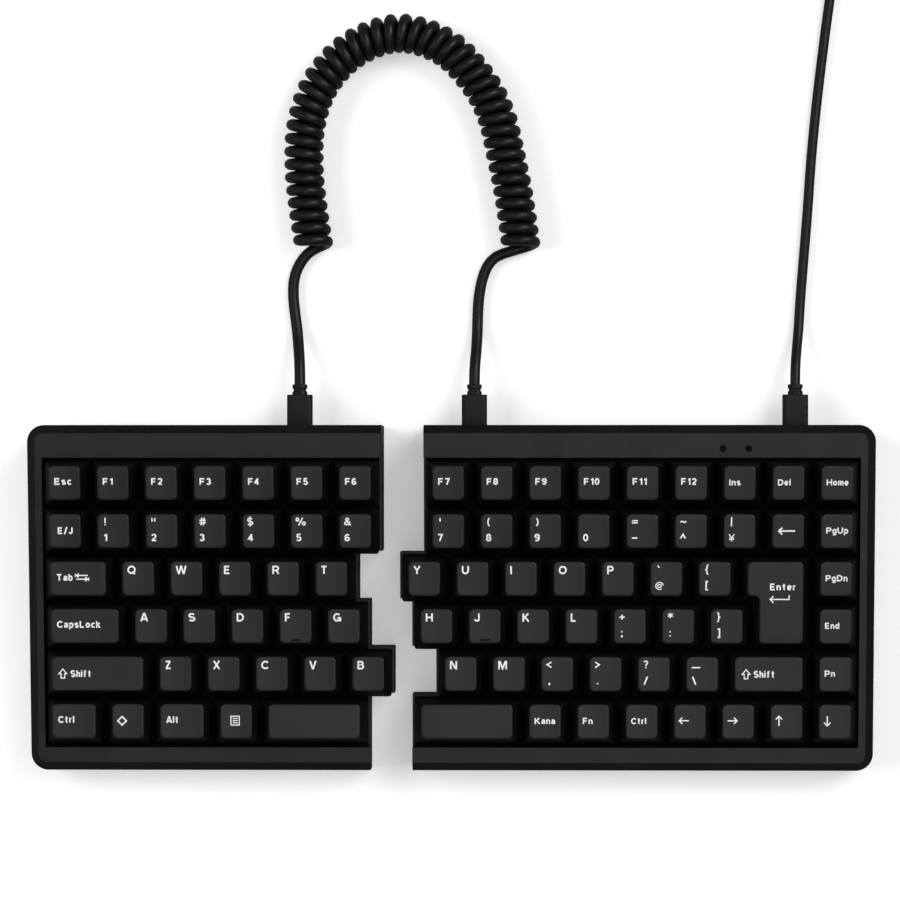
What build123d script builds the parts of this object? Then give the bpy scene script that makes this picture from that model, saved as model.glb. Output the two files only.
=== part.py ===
from build123d import *

import os
from bisect import bisect
from math import cos, hypot, pi, radians, sin, sqrt, tan

# A keyboard split into two halves that are joined by a curly cord. Millimetres.
# +X is right, +Y is the rear, +Z is up, and the rubber feet stand on Z = 0.
# A place on the sloping key deck is given by s, up the slope from the front
# edge, and n, square to the deck from the top of the switch plate.

# Driving dimensions
key_pitch = 19.05
half_gap = 17.5  # between the key grids of the two halves, as they stand apart
deck_angle = 7.0
plate_height = 12.6  # top of the switch plate at the front edge
foot_height = 1.5

# Case walls and bars
side_bar = 6.4  # from the key grid to the outer side
front_bar = 9.35
rear_bar = 12.95
window_gap = 0.3  # between the key grid and the side bar
front_window_gap = 0.8
rear_window_gap = 0.864
bezel_rise = 7.5  # top of the bars above the switch plate
bezel_skin = 2.2
case_wall = 2.2
step_wall = 1.0  # the thin wall of the stepped inner side
curtain = 1.6  # the wall that comes down round the keys to the plate
lip_rise = 1.5  # the stepped wall's top above the plate
bar_chamfer = 3.3
outer_corner = 6.75
step_corner = 0.8
step_reach = 0.4  # the stepped wall's outer face, beyond the key grid
rear_step_reach = 0.5  # of a wall that faces the rear, beyond the key grid
front_step_draw = 0.85  # of a wall that faces the front, inside the key grid
floor_thickness = 2.0
tray_height = 5.5  # from the underside to the seam

# Plate, board and switches
plate_thickness = 1.5
board_drop = 5.0  # from the plate's top to the board's top
board_thickness = 1.6
board_gap = 1.0  # between the board's edge and the case wall
plate_gap = 0.3
housing_base = 15.0
housing_top = 9.6
housing_rise = 6.6
housing_well_width = 7.4
housing_well_depth = 5.8
housing_floor = 0.8

# Key caps
cap_gap = 0.95
cap_rise = 6.3  # the cap's rim above the plate, at rest
cap_side_slope = 2.85
cap_front_slope = 3.5
cap_rear_slope = 0.9
cap_corner = 1.5
cap_wall = 1.3
cap_roof = 1.5
cap_dish = 0.5
stem_width = 7.0
stem_depth = 5.4
stem_drop = 1.3  # the stem's foot below the cap's rim
key_travel = 4.0
cap_rear_heights = [10.2, 10.0, 8.7, 7.6, 7.5, 7.5]
cap_front_heights = [8.9, 8.9, 8.1, 7.5, 7.9, 8.0]

# Stabilizers under the long keys
stabilized_share = 2.0  # a key of more pitches than this has them
stabilizer_span = 23.8
stabilizer_width = 6.0
stabilizer_depth = 11.0
stabilizer_rise = 3.6
wire_width = 1.4
wire_reach = 8.8  # from the key's middle towards the front
wire_rise = 1.1

# Screws and their posts, which have flats so that each stays plain
post_sides = 8
post_radius = 4.0
boss_radius = 2.6
boss_sink = 0.6  # how far a boss stands in the wall beside it
head_radius = 2.7
head_height = 1.7
head_recess = 2.0
shank_radius = 1.4
shank_length = 9.5
screw_clearance = 0.15
screw_inset = 7.0  # from the outer and inner sides
rest_radius = 2.5  # the posts that carry the board

# Rubber feet
rubber_length = 20.0
rubber_width = 7.0
rubber_inset = 5.2  # from the front and rear edges to the foot's middle line
rubber_side_inset = 24.0

# Tilt feet
tilt_foot_width = 20.0
tilt_foot_length = 17.0
tilt_foot_thickness = 2.6
tilt_barrel_radius = 1.6
tilt_pin_radius = 0.9
tilt_pin_reach = 1.4
tilt_clearance = 0.4
tilt_block_wall = 3.0
tilt_roof = 1.6
tilt_hinge_inset = 20.0  # from the rear edge
tilt_side_inset = 36.0
tilt_rib_width = 1.2

# Sockets and plugs
port_height = 10.5
port_width = 9.0
port_rise = 3.4
shell_width = 8.3
shell_rise = 2.6
shell_length = 6.4
shell_wall = 0.3
socket_clearance = 0.15
socket_wall = 0.5
socket_board_width = 16.0
socket_board_depth = 12.0
plug_width = 10.1
plug_rise = 6.6
plug_length = 12.2
plug_corner = 1.5
plug_seat_gap = 0.2
relief_width = 5.9
relief_length = 4.1
relief_notch = 0.9
left_port_x = -60.8
bridge_port_x = 9.1
host_port_inset = 30.25  # from the right half's outer side

# Indicator lamps
lens_radius = 1.3
lens_clearance = 0.05
lens_sink = 0.4
lens_inset = 9.4  # from the rear edge
lens_xs = [-60.3, -50.3]  # from the right half's outer side

# Cords
cord_diameter = 3.7
cord_sides = 6
curl_sides = 4
curl_count = 43
curl_radius = 5.6  # to the middle of the cord
winding_steps = 4  # stops in each turn, with two arcs between stops
axis_steps = 100  # in each curl, where the axis is measured
probe_share = 0.001
curl_axis = [
    (-55.0, 138.8),
    (-57.9, 157.3),
    (-59.9, 174.9),
    (-58.1, 192.5),
    (-50.6, 208.5),
    (-37.1, 219.7),
    (-19.9, 223.3),
    (-2.9, 218.7),
    (10.5, 207.4),
    (18.9, 191.9),
    (22.7, 174.5),
    (23.8, 156.8),
    (26.6, 138.8),
]
left_lead_route = [
    (-60.8, 85.2, 10.5),
    (-60.8, 91.5, 10.5),
    (-61.6, 99.5, 6.0),
    (-62.9, 108.0, 2.6),
    (-64.6, 115.0, 1.85),
    (-66.2, 122.0, 1.85),
    (-67.0, 129.4, 1.85),
    (-66.0, 134.6, 1.85),
]
right_lead_route = [
    (9.1, 85.2, 10.5),
    (9.1, 91.5, 10.5),
    (9.4, 99.5, 6.0),
    (9.8, 108.0, 2.6),
    (10.2, 115.0, 1.85),
    (10.9, 121.6, 1.85),
    (12.4, 128.8, 1.85),
    (15.4, 133.8, 1.85),
]
host_route = [
    (137.3, 85.2, 10.5),
    (137.3, 91.5, 10.5),
    (137.8, 99.5, 6.0),
    (138.4, 108.0, 2.6),
    (139.0, 118.0, 1.85),
    (140.3, 134.0, 1.85),
    (142.0, 154.0, 1.85),
    (143.6, 178.0, 1.85),
    (146.2, 203.0, 1.85),
    (149.2, 227.0, 1.9),
    (152.0, 245.0, 2.2),
    (153.6, 258.0, 2.5),
]
host_coil_turns = 3  # in each layer
host_coil_layers = 4
host_coil_end = 11.25  # turns in all
host_coil_outer = 27.6  # to the middle of the outermost turn
host_coil_pitch = 4.3  # from turn to turn and from layer to layer
host_coil_x = 126.6
host_coil_y = 280.0
host_coil_height = 2.55
tail_route = [
    (109.0, 305.4, 15.2),
    (99.5, 306.4, 13.6),
    (90.6, 305.4, 10.8),
    (83.6, 300.4, 7.0),
]
tail_straight = 6.0
plug_end_x = 80.0
plug_end_y = 280.0
tie_angle = 225.0
tie_width = 8.0
tie_thickness = 0.6
tie_gap = 0.4
usb_body_width = 15.6
usb_body_rise = 8.0
usb_body_length = 22.0
usb_relief_length = 7.0
usb_shell_width = 12.0
usb_shell_rise = 4.5
usb_shell_length = 12.0
usb_shell_wall = 0.4
usb_tongue_rise = 1.8
usb_root = 4.0  # how far the shell stands in the body

# Widths of the keys in key pitches, rear row first
left_row_shares = [
    [1, 1, 1, 1, 1, 1, 1],
    [1, 1, 1, 1, 1, 1, 1],
    [1.5, 1, 1, 1, 1, 1],
    [1.75, 1, 1, 1, 1, 1],
    [2.25, 1, 1, 1, 1, 1],
    [1.25, 1, 1.25, 1, 2.25],
]
right_row_shares = [
    [1, 1, 1, 1, 1, 1, 1, 1, 1],
    [1, 1, 1, 1, 1, 1, 1, 1, 1],
    [1, 1, 1, 1, 1, 1, 1, 1.5, 1],
    [1, 1, 1, 1, 1, 1, 1, 1.25, 1],
    [1, 1, 1, 1, 1, 1, 1.75, 1],
    [2.25, 1, 1, 1, 1, 1, 1, 1],
]
enter_column = 7
enter_row = 2

overrun = 1.0

# Worked out from the sizes above
row_count = len(left_row_shares)
left_units = [sum(row) for row in left_row_shares]
right_units = [sum(row) for row in right_row_shares]
case_width = (left_units[0] + right_units[0]) * key_pitch + half_gap + 2 * side_bar
slope = radians(deck_angle)
window_depth = (front_window_gap + row_count * key_pitch + rear_window_gap) * cos(slope)
case_depth = front_bar + window_depth + rear_bar
front_y = -case_depth / 2
rear_y = case_depth / 2
host_port_x = case_width / 2 - host_port_inset
grid_front = (front_bar + bezel_rise * sin(slope)) / cos(slope) + front_window_gap
seam_height = foot_height + tray_height
floor_top = foot_height + floor_thickness
tall = plate_height + case_depth * tan(slope) + bezel_rise + 2 * cap_roof
left_grid = -case_width / 2 + side_bar
right_grid = case_width / 2 - side_bar
LEFT, RIGHT = -1, 1
row_units = {LEFT: left_units, RIGHT: right_units}


# Planes and places on the deck
def deck(n):
    """The plane that lies n above the top of the switch plate."""
    up = Vector(0, -sin(slope), cos(slope))
    return Plane(origin=Vector(0, front_y, plate_height) + up * n, x_dir=(1, 0, 0), z_dir=up)


def floor_plane(height):
    return Plane.XY.offset(height)


def plan_y(s):
    """The plan place of a point s up the deck."""
    return front_y + s * cos(slope)


def row_middle(row):
    return grid_front + (row_count - row - 1 / 2) * key_pitch


def row_keys(side, row):
    """Each key of a row as (middle x, width), left to right."""
    shares = left_row_shares[row] if side == LEFT else right_row_shares[row]
    x = left_grid if side == LEFT else right_grid - sum(shares) * key_pitch
    keys = []
    for share in shares:
        width = share * key_pitch
        keys.append((x + width / 2, width))
        x += width
    return keys


# Outlines of a half, seen from above
def half_points(side, outer, front, rear, inner):
    """The corners of a half, drawn in by a share of wall on each side."""
    outer_x = side * (case_width / 2 - outer)
    edges = []
    for units in row_units[side]:
        grid_edge = side * (case_width / 2 - side_bar - units * key_pitch)
        edges.append(grid_edge - side * (step_reach - inner))
    points = [(outer_x, front_y + front), (edges[-1], front_y + front)]
    for row in range(row_count - 2, -1, -1):
        if row_units[side][row] == row_units[side][row + 1]:
            continue
        line = plan_y(grid_front + (row_count - row - 1) * key_pitch)
        if row_units[side][row + 1] > row_units[side][row]:
            y = line + rear_step_reach - inner
        else:
            y = line + front_step_draw + inner
        points.append((edges[row + 1], y))
        points.append((edges[row], y))
    points.append((edges[0], rear_y - rear))
    points.append((outer_x, rear_y - rear))
    return points


def half_plan(side, outer=0, front=0, rear=0, inner=0, corner=0, step=0):
    with BuildSketch() as plan:
        with BuildLine():
            Polyline(*half_points(side, outer, front, rear, inner), close=True)
        make_face()
        columns = plan.vertices().group_by(Axis.X)
        outside = columns[0] if side == LEFT else columns[-1]
        stepped = [v for v in plan.vertices() if v not in outside]
        if corner:
            fillet(outside, corner)
        if step:
            fillet(stepped, step)
    return plan.sketch


def window_plan(side, spread):
    """The opening round the keys, run out past the stepped side."""
    outer_x = side * (case_width / 2 - side_bar + window_gap + spread)
    inner_x = -side * case_width / 2
    low = front_y + front_bar - spread
    high = rear_y - rear_bar + spread
    with BuildSketch() as plan:
        with Locations(((outer_x + inner_x) / 2, (low + high) / 2)):
            Rectangle(abs(outer_x - inner_x), high - low)
    return plan.sketch


def prism(plan, low, high):
    """A plan raised between two planes."""
    with BuildPart() as block:
        with BuildSketch(floor_plane(-overrun)):
            add(plan)
        extrude(amount=tall)
        split(bisect_by=low, keep=Keep.TOP)
        split(bisect_by=high, keep=Keep.BOTTOM)
    return block.part


def inner_plan(side, gap, spread):
    """A sheet inside the stepped wall that spreads past the window under the bars."""
    return half_plan(side, inner=step_wall + gap) & window_plan(side, spread)


# Case
def inner_edge(side, row):
    return half_points(side, 0, 0, 0, 0)[1 if row else -2][0]


def screw_places(side):
    outer_x = side * (case_width / 2 - screw_inset)
    front_x = inner_edge(side, row_count) + side * screw_inset
    rear_x = inner_edge(side, 0) + side * screw_inset
    wall_to_middle = case_wall + boss_radius - boss_sink
    low, high = front_y + wall_to_middle, rear_y - wall_to_middle
    return [(outer_x, low), (front_x, low), (outer_x, high), (rear_x, high)]


def tilt_places(side):
    """The middle of each tilt foot, outer one first."""
    outer_x = side * (case_width / 2 - tilt_side_inset)
    return [outer_x, inner_edge(side, 0) + side * tilt_side_inset]


def ports(side):
    return [left_port_x] if side == LEFT else [bridge_port_x, host_port_x]


def is_bar_edge(side, edge):
    """Whether an edge of the top face runs round the outer side, the front or the rear."""
    middle = edge.center()
    near = bar_chamfer / 2
    outside = abs(middle.X - side * case_width / 2) < outer_corner / 2
    return outside or middle.Y < front_y + near or middle.Y > rear_y - near


def top_case(side):
    shell = prism(
        half_plan(side, corner=outer_corner, step=step_corner), floor_plane(seam_height), deck(bezel_rise)
    )
    walls = dict(outer=case_wall, front=case_wall, rear=case_wall, inner=step_wall)
    inside = half_plan(side, corner=outer_corner - case_wall, **walls)
    below = floor_plane(seam_height - overrun)
    room = prism(inside, below, deck(0))
    bars = prism(inside - window_plan(side, curtain), below, deck(bezel_rise - bezel_skin))
    window = prism(inside & window_plan(side, 0), below, deck(bezel_rise + overrun))
    over_steps = prism(window_plan(side, 0), deck(lip_rise), deck(bezel_rise + overrun))
    bosses = boss_set(screw_places(side))
    with BuildPart() as case:
        add(shell)
        face = case.faces().sort_by(Axis(deck(0).origin, deck(0).z_dir))[-1]
        chamfer([edge for edge in face.edges() if is_bar_edge(side, edge)], bar_chamfer)
        add(room, mode=Mode.SUBTRACT)
        add(bars, mode=Mode.SUBTRACT)
        add(window, mode=Mode.SUBTRACT)
        add(over_steps, mode=Mode.SUBTRACT)
        add(bosses)
        with BuildSketch(floor_plane(seam_height - overrun)):
            with Locations(screw_places(side)):
                RegularPolygon(shank_radius + screw_clearance, post_sides)
        extrude(amount=shank_length, mode=Mode.SUBTRACT)
        with BuildSketch(Plane.XZ.offset(-rear_y - overrun)):
            with Locations([(x, port_height) for x in ports(side)]):
                RectangleRounded(port_width, port_rise, port_rise / 2 - socket_clearance)
        extrude(amount=case_wall + 2 * overrun, mode=Mode.SUBTRACT)
        if side == RIGHT:
            with BuildSketch(deck(bezel_rise + overrun)):
                with Locations(lens_places()):
                    Circle(lens_radius + lens_clearance)
            extrude(amount=-bezel_skin - 2 * overrun, mode=Mode.SUBTRACT)
    return case.part


def boss_set(places):
    """The screw bosses that hang under the bars, merged into the walls that they touch."""
    with BuildSketch() as rounds:
        with Locations(places):
            RegularPolygon(boss_radius, post_sides)
    return prism(rounds.sketch, floor_plane(seam_height), deck(bezel_rise - bezel_skin / 2))


def lens_places():
    """On the deck's own axes: across, and up the slope."""
    up = (rear_y - lens_inset - front_y + bezel_rise * sin(slope)) / cos(slope)
    return [(case_width / 2 + x, up) for x in lens_xs]


def bottom_case(side):
    walls = dict(outer=case_wall, front=case_wall, rear=case_wall, inner=step_wall)
    shell = prism(
        half_plan(side, corner=outer_corner, step=step_corner),
        floor_plane(foot_height),
        floor_plane(seam_height),
    )
    room = prism(
        half_plan(side, corner=outer_corner - case_wall, **walls),
        floor_plane(floor_top),
        floor_plane(seam_height + overrun),
    )
    with BuildSketch() as rests:
        with Locations(board_rests(side)):
            RegularPolygon(rest_radius, post_sides)
    rest_posts = prism(rests.sketch, floor_plane(floor_top), deck(-board_drop - board_thickness))
    block_width = tilt_foot_width + 2 * (tilt_clearance + tilt_block_wall)
    pocket_width = tilt_foot_width + 2 * tilt_clearance
    pocket_length = tilt_foot_length + tilt_barrel_radius + 2 * tilt_clearance
    pocket_rise = 2 * tilt_barrel_radius + 2 * tilt_clearance
    pocket_rear = rear_y - tilt_hinge_inset + tilt_barrel_radius + tilt_clearance
    pin_height = foot_height + tilt_clearance + tilt_barrel_radius
    places = screw_places(side)
    pads = [socket_posts(x) for x in ports(side)]
    with BuildPart() as tray:
        add(shell)
        add(room, mode=Mode.SUBTRACT)
        add(rest_posts)
        with BuildSketch(floor_plane(floor_top)):
            with Locations(places):
                RegularPolygon(post_radius, post_sides)
        extrude(amount=seam_height - floor_top)
        for x in tilt_places(side):
            with Locations((x, pocket_rear - pocket_length / 2, foot_height)):
                Box(
                    block_width,
                    pocket_length + 2 * tilt_roof,
                    pocket_rise + tilt_roof,
                    align=(Align.CENTER, Align.CENTER, Align.MIN),
                )
                with Locations((0, 0, -overrun)):
                    Box(
                        pocket_width,
                        pocket_length,
                        pocket_rise + overrun,
                        align=(Align.CENTER, Align.CENTER, Align.MIN),
                        mode=Mode.SUBTRACT,
                    )
            with BuildSketch(Plane.YZ.offset(x)):
                with Locations((rear_y - tilt_hinge_inset, pin_height)):
                    Circle(tilt_pin_radius + tilt_clearance / 2)
            pin_half = tilt_foot_width / 2 + tilt_pin_reach + 2 * tilt_clearance
            extrude(amount=pin_half, both=True, mode=Mode.SUBTRACT)
        for pad in pads:
            add(pad)
        with BuildSketch(floor_plane(foot_height - overrun)):
            with Locations(places):
                RegularPolygon(shank_radius + screw_clearance, post_sides)
        extrude(amount=tray_height + 2 * overrun, mode=Mode.SUBTRACT)
        with BuildSketch(floor_plane(foot_height - overrun)):
            with Locations(places):
                RegularPolygon(head_radius + screw_clearance, post_sides)
        extrude(amount=head_recess + overrun, mode=Mode.SUBTRACT)
    return tray.part


def board_rests(side):
    """Posts under the board, between the key rows."""
    outer_x = side * (case_width / 2 - side_bar - key_pitch)
    inner_x = inner_edge(side, row_count) + side * key_pitch
    ys = [plan_y(grid_front + key_pitch), plan_y(grid_front + (row_count - 2) * key_pitch)]
    return [(x, y) for x in (outer_x, inner_x) for y in ys]


def socket_level():
    return port_height - port_rise / 2 + socket_clearance


def socket_posts(x):
    """The two pads on the tray's floor that carry a socket's board."""
    with BuildPart() as pads:
        with BuildSketch(floor_plane(floor_top - overrun)):
            middle = rear_y - case_wall - socket_board_depth / 2 - socket_clearance
            with Locations((x, middle)):
                with GridLocations(socket_board_width - post_radius, 0, 2, 1):
                    Rectangle(post_radius, socket_board_depth)
        extrude(amount=socket_level() - board_thickness - floor_top + overrun)
    return pads.part


def switch_plate(side):
    return prism(inner_plan(side, plate_gap, curtain), deck(-plate_thickness), deck(0))


def circuit_board(side):
    plan = inner_plan(side, board_gap, 0)
    return prism(plan, deck(-board_drop - board_thickness), deck(-board_drop))


# Keys
def tapered_block(base_width, top_width, depth, front_slope, rear_slope, front_height, rear_height):
    """A block that narrows upwards, with a top that may slope from rear to front."""
    tallest = max(front_height, rear_height)
    with BuildPart() as block:
        with BuildSketch(Plane.YZ):
            with BuildLine():
                Polyline(
                    (-depth / 2, 0),
                    (depth / 2, 0),
                    (depth / 2 - rear_slope, rear_height),
                    (-depth / 2 + front_slope, front_height),
                    close=True,
                )
            make_face()
        extrude(amount=base_width, both=True)
        with BuildSketch(Plane.XZ):
            with BuildLine():
                Polyline(
                    (-base_width / 2, 0),
                    (base_width / 2, 0),
                    (top_width / 2, tallest),
                    (-top_width / 2, tallest),
                    close=True,
                )
            make_face()
        extrude(amount=depth, both=True, mode=Mode.INTERSECT)
    return block.part


def cap_skin(width, depth, front_height, rear_height):
    """The outside of a cap, with its upright corners taken off."""
    base = width - cap_gap
    body = tapered_block(
        base, base - 2 * cap_side_slope, depth - cap_gap,
        cap_front_slope, cap_rear_slope, front_height, rear_height,
    )
    corners = [e for e in body.edges() if e.bounding_box().size.Z > rear_height / 2]
    return chamfer(corners, cap_corner)


def cap_hollow(width, depth, front_height, rear_height):
    """The inside of a cap."""
    base = width - cap_gap - 2 * cap_wall
    top = base - 2 * cap_side_slope
    return tapered_block(
        base, top, depth - cap_gap - 2 * cap_wall,
        cap_front_slope, cap_rear_slope, front_height - cap_roof, rear_height - cap_roof,
    )


def dish(width, depth, front_height, rear_height):
    """The round bar whose underside hollows a cap's top from side to side."""
    top = width - cap_gap - 2 * cap_side_slope
    radius = (top * top / 4 + cap_dish * cap_dish) / (2 * cap_dish)
    lean = (rear_height - front_height) / (depth - cap_gap - cap_front_slope - cap_rear_slope)
    middle = (cap_front_slope - cap_rear_slope) / 2
    level = (front_height + rear_height) / 2 - cap_dish
    axis = Plane(origin=(0, middle, level + radius), x_dir=(1, 0, 0), z_dir=(0, 1, lean))
    with BuildPart() as bar:
        with BuildSketch(axis):
            Circle(radius)
        extrude(amount=depth, both=True)
    return bar.part


def finished_cap(skin, hollow, hollowing, roof):
    with BuildPart() as cap:
        add(skin)
        if hollowing:
            add(hollowing, mode=Mode.SUBTRACT)
        add(hollow, mode=Mode.SUBTRACT)
        with Locations((0, 0, -stem_drop)):
            Box(
                stem_width, stem_depth, stem_drop + roof,
                align=(Align.CENTER, Align.CENTER, Align.MIN),
            )
    return cap.part


def key_cap(width, row):
    """A cap with its stem, on its rim at the origin. The space bars have no dish."""
    heights = (cap_front_heights[row], cap_rear_heights[row])
    roof = min(heights) - cap_dish - cap_roof / 3
    is_space = row == row_count - 1 and width > stabilized_share * key_pitch
    hollowing = None if is_space else dish(width, key_pitch, *heights)
    return finished_cap(
        cap_skin(width, key_pitch, *heights), cap_hollow(width, key_pitch, *heights), hollowing, roof
    )


def enter_cap():
    """The key of two rows, wider in the upper one, about the middle of its lower width."""
    front, rear = cap_front_heights[enter_row + 1], cap_rear_heights[enter_row]
    wide = right_row_shares[enter_row][enter_column] * key_pitch
    narrow = right_row_shares[enter_row + 1][enter_column] * key_pitch
    place = Pos((narrow - wide) / 2, key_pitch / 2, 0)
    long_top = 2 * key_pitch - cap_gap - cap_front_slope - cap_rear_slope
    short_top = key_pitch - cap_gap - cap_front_slope - cap_rear_slope
    middle = rear - (rear - front) * short_top / long_top
    skin = cap_skin(narrow, 2 * key_pitch, front, rear) + place * cap_skin(wide, key_pitch, middle, rear)
    hollow = cap_hollow(narrow, 2 * key_pitch, front, rear)
    hollow = hollow + place * cap_hollow(wide, key_pitch, middle, rear)
    return finished_cap(skin, hollow, None, front - cap_roof / 2)


def enter_place():
    x, _ = row_keys(RIGHT, enter_row + 1)[enter_column]
    return x, row_middle(enter_row) - key_pitch / 2


def is_enter(side, row, column):
    return side == RIGHT and column == enter_column and row in (enter_row, enter_row + 1)


def key_bank(side, keys):
    """The caps at the given (row, column) places, as separate solids."""
    placed = []
    for row, column in keys:
        x, width = row_keys(side, row)[column]
        placed.append((deck(cap_rise).location * Pos(x, row_middle(row), 0), key_cap(width, row)))
    with BuildPart() as bank:
        for place, cap in placed:
            with Locations(place):
                add(cap)
    return bank.part


def switch_places(side):
    places = []
    for row in range(row_count):
        for column, (x, _) in enumerate(row_keys(side, row)):
            if not is_enter(side, row, column):
                places.append((x, row_middle(row)))
    if side == RIGHT:
        places.append(enter_place())
    return places


def switch_housings(side):
    with BuildPart() as housing:
        add(
            tapered_block(
                housing_base, housing_top, housing_base,
                (housing_base - housing_top) / 2, (housing_base - housing_top) / 2,
                housing_rise, housing_rise,
            )
        )
        with Locations((0, 0, housing_floor)):
            Box(
                housing_well_width, housing_well_depth, housing_rise,
                align=(Align.CENTER, Align.CENTER, Align.MIN), mode=Mode.SUBTRACT,
            )
    with BuildPart() as housings:
        with Locations([deck(0).location * Pos(x, s, 0) for x, s in switch_places(side)]):
            add(housing.part)
    return housings.part


def long_keys(side):
    """The places of the keys that are longer than two pitches, and of the key of two rows."""
    places = []
    for row in range(row_count):
        for x, width in row_keys(side, row):
            if width > stabilized_share * key_pitch:
                places.append((x, row_middle(row)))
    return places + [enter_place()] if side == RIGHT else places


def stabilizers(side):
    """Each long key's two guides, and the wire that makes its ends move together."""
    bend = wire_reach - stabilizer_depth / 2
    with BuildPart() as sets:
        for x, s in long_keys(side):
            turn = 90 if (x, s) == enter_place() else 0
            place = deck(0).location * Pos(x, s, 0) * Rot(0, 0, -turn)
            with Locations(place):
                with GridLocations(stabilizer_span, 0, 2, 1):
                    Box(
                        stabilizer_width, stabilizer_depth, stabilizer_rise,
                        align=(Align.CENTER, Align.CENTER, Align.MIN),
                    )
                with Locations((0, -wire_reach, wire_rise)):
                    Box(stabilizer_span + wire_width, wire_width, wire_width)
                with Locations((0, -wire_reach + bend / 2, wire_rise)):
                    with GridLocations(stabilizer_span, 0, 2, 1):
                        Box(wire_width, bend, wire_width)
    return sets.part


# Small parts of the case
def rubber_feet(side):
    outer_x = side * (case_width / 2 - rubber_side_inset)
    front_x = inner_edge(side, row_count) + side * rubber_side_inset
    rear_x = inner_edge(side, 0) + side * rubber_side_inset
    low, high = front_y + rubber_inset, rear_y - rubber_inset
    with BuildPart() as feet:
        with BuildSketch() as feet_plan:
            with Locations((outer_x, low), (front_x, low), (outer_x, high), (rear_x, high)):
                Rectangle(rubber_length, rubber_width)
            chamfer(feet_plan.vertices(), rubber_width / 4)
        extrude(amount=foot_height)
    return feet.part


def case_screws(side):
    with BuildPart() as screws:
        with BuildSketch(floor_plane(foot_height + head_recess - head_height)):
            with Locations(screw_places(side)):
                RegularPolygon(head_radius, post_sides)
        extrude(amount=head_height)
        with BuildSketch(floor_plane(foot_height + head_recess)):
            with Locations(screw_places(side)):
                RegularPolygon(shank_radius, post_sides)
        extrude(amount=shank_length - head_recess)
    return screws.part


def tilt_foot(x):
    """A leg that lies folded forward in its pocket, with its barrel and pins at the rear."""
    hinge_y = rear_y - tilt_hinge_inset
    hinge_height = foot_height + tilt_clearance + tilt_barrel_radius
    bottom = hinge_height - tilt_barrel_radius
    with BuildPart() as foot:
        with BuildSketch(Plane.YZ.offset(x)):
            with Locations((hinge_y, hinge_height)):
                Circle(tilt_barrel_radius)
            with BuildLine():
                Polyline(
                    (hinge_y, bottom),
                    (hinge_y, bottom + tilt_foot_thickness),
                    (hinge_y - tilt_foot_length + tilt_rib_width, bottom + tilt_foot_thickness),
                    (hinge_y - tilt_foot_length, bottom + tilt_foot_thickness / 2),
                    (hinge_y - tilt_foot_length, bottom),
                    close=True,
                )
            make_face()
        extrude(amount=tilt_foot_width / 2, both=True)
        with BuildSketch(Plane.YZ.offset(x)):
            with Locations((hinge_y, hinge_height)):
                Circle(tilt_pin_radius)
        extrude(amount=tilt_foot_width / 2 + tilt_pin_reach, both=True)
        with BuildSketch(floor_plane(bottom)):
            with Locations((x, hinge_y - tilt_foot_length + 3 * tilt_rib_width)):
                with GridLocations(0, 2 * tilt_rib_width, 1, 2):
                    Rectangle(tilt_foot_width / 2, tilt_rib_width)
        extrude(amount=tilt_rib_width / 2, mode=Mode.SUBTRACT)
    return foot.part


def indicator_lenses():
    with BuildPart() as lenses:
        with BuildSketch(deck(bezel_rise - lens_sink)):
            with Locations(lens_places()):
                Circle(lens_radius)
        extrude(amount=-bezel_skin)
    return lenses.part


# Sockets and plugs
def port_plane(x, y):
    """An upright plane across a port, looking out of the rear."""
    return Plane(origin=(x, y, port_height), x_dir=(1, 0, 0), z_dir=(0, 1, 0))


def socket(x):
    """A metal socket on its little board, open towards the rear."""
    width = shell_width + 2 * (socket_clearance + socket_wall)
    rise = shell_rise + 2 * (socket_clearance + socket_wall)
    face = rear_y - case_wall - socket_clearance
    depth = shell_length + 2 * socket_wall
    with BuildPart() as shell:
        with BuildSketch(port_plane(x, face)):
            Rectangle(width, rise)
        extrude(amount=-depth)
        with BuildSketch(port_plane(x, face)):
            Rectangle(shell_width + 2 * socket_clearance, shell_rise + 2 * socket_clearance)
        extrude(amount=-shell_length, mode=Mode.SUBTRACT)
        with BuildSketch(floor_plane(port_height - rise / 2)):
            with Locations((x, face - socket_board_depth / 2)):
                Rectangle(socket_board_width, socket_board_depth)
        extrude(amount=-(port_height - rise / 2 - socket_level() + board_thickness))
    return shell.part


def sockets(side):
    made = [socket(x) for x in ports(side)]
    with BuildPart() as group:
        for one in made:
            add(one)
    return group.part


def plug_body(x):
    """The moulded body and its notched strain relief, behind the case."""
    start = rear_y + plug_seat_gap
    end = start + plug_length
    with BuildPart() as body:
        with BuildSketch(port_plane(x, start)):
            RectangleRounded(plug_width, plug_rise, plug_corner)
        extrude(amount=plug_length)
        with BuildSketch(port_plane(x, end)):
            RectangleRounded(relief_width, relief_width, relief_width / 2 - relief_notch)
        extrude(amount=relief_length)
        with BuildSketch(port_plane(x, end + relief_length / 3)):
            Rectangle(relief_width + overrun, relief_width + overrun)
            RectangleRounded(
                relief_width - relief_notch, relief_width - relief_notch, plug_corner, mode=Mode.SUBTRACT
            )
        extrude(amount=relief_length / 4, mode=Mode.SUBTRACT)
    return body.part


def plug_shell(x):
    """The metal tongue box that stands in the socket."""
    start = rear_y + plug_seat_gap
    reach = shell_length - socket_clearance
    root = start - case_wall - plug_seat_gap - socket_clearance - reach
    with BuildPart() as shell:
        with BuildSketch(port_plane(x, root)):
            RectangleRounded(shell_width, shell_rise, shell_rise / 2 - socket_clearance)
            RectangleRounded(
                shell_width - 2 * shell_wall, shell_rise - 2 * shell_wall,
                shell_rise / 2 - shell_wall - socket_clearance, mode=Mode.SUBTRACT,
            )
        extrude(amount=start - root)
    return shell.part


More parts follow.
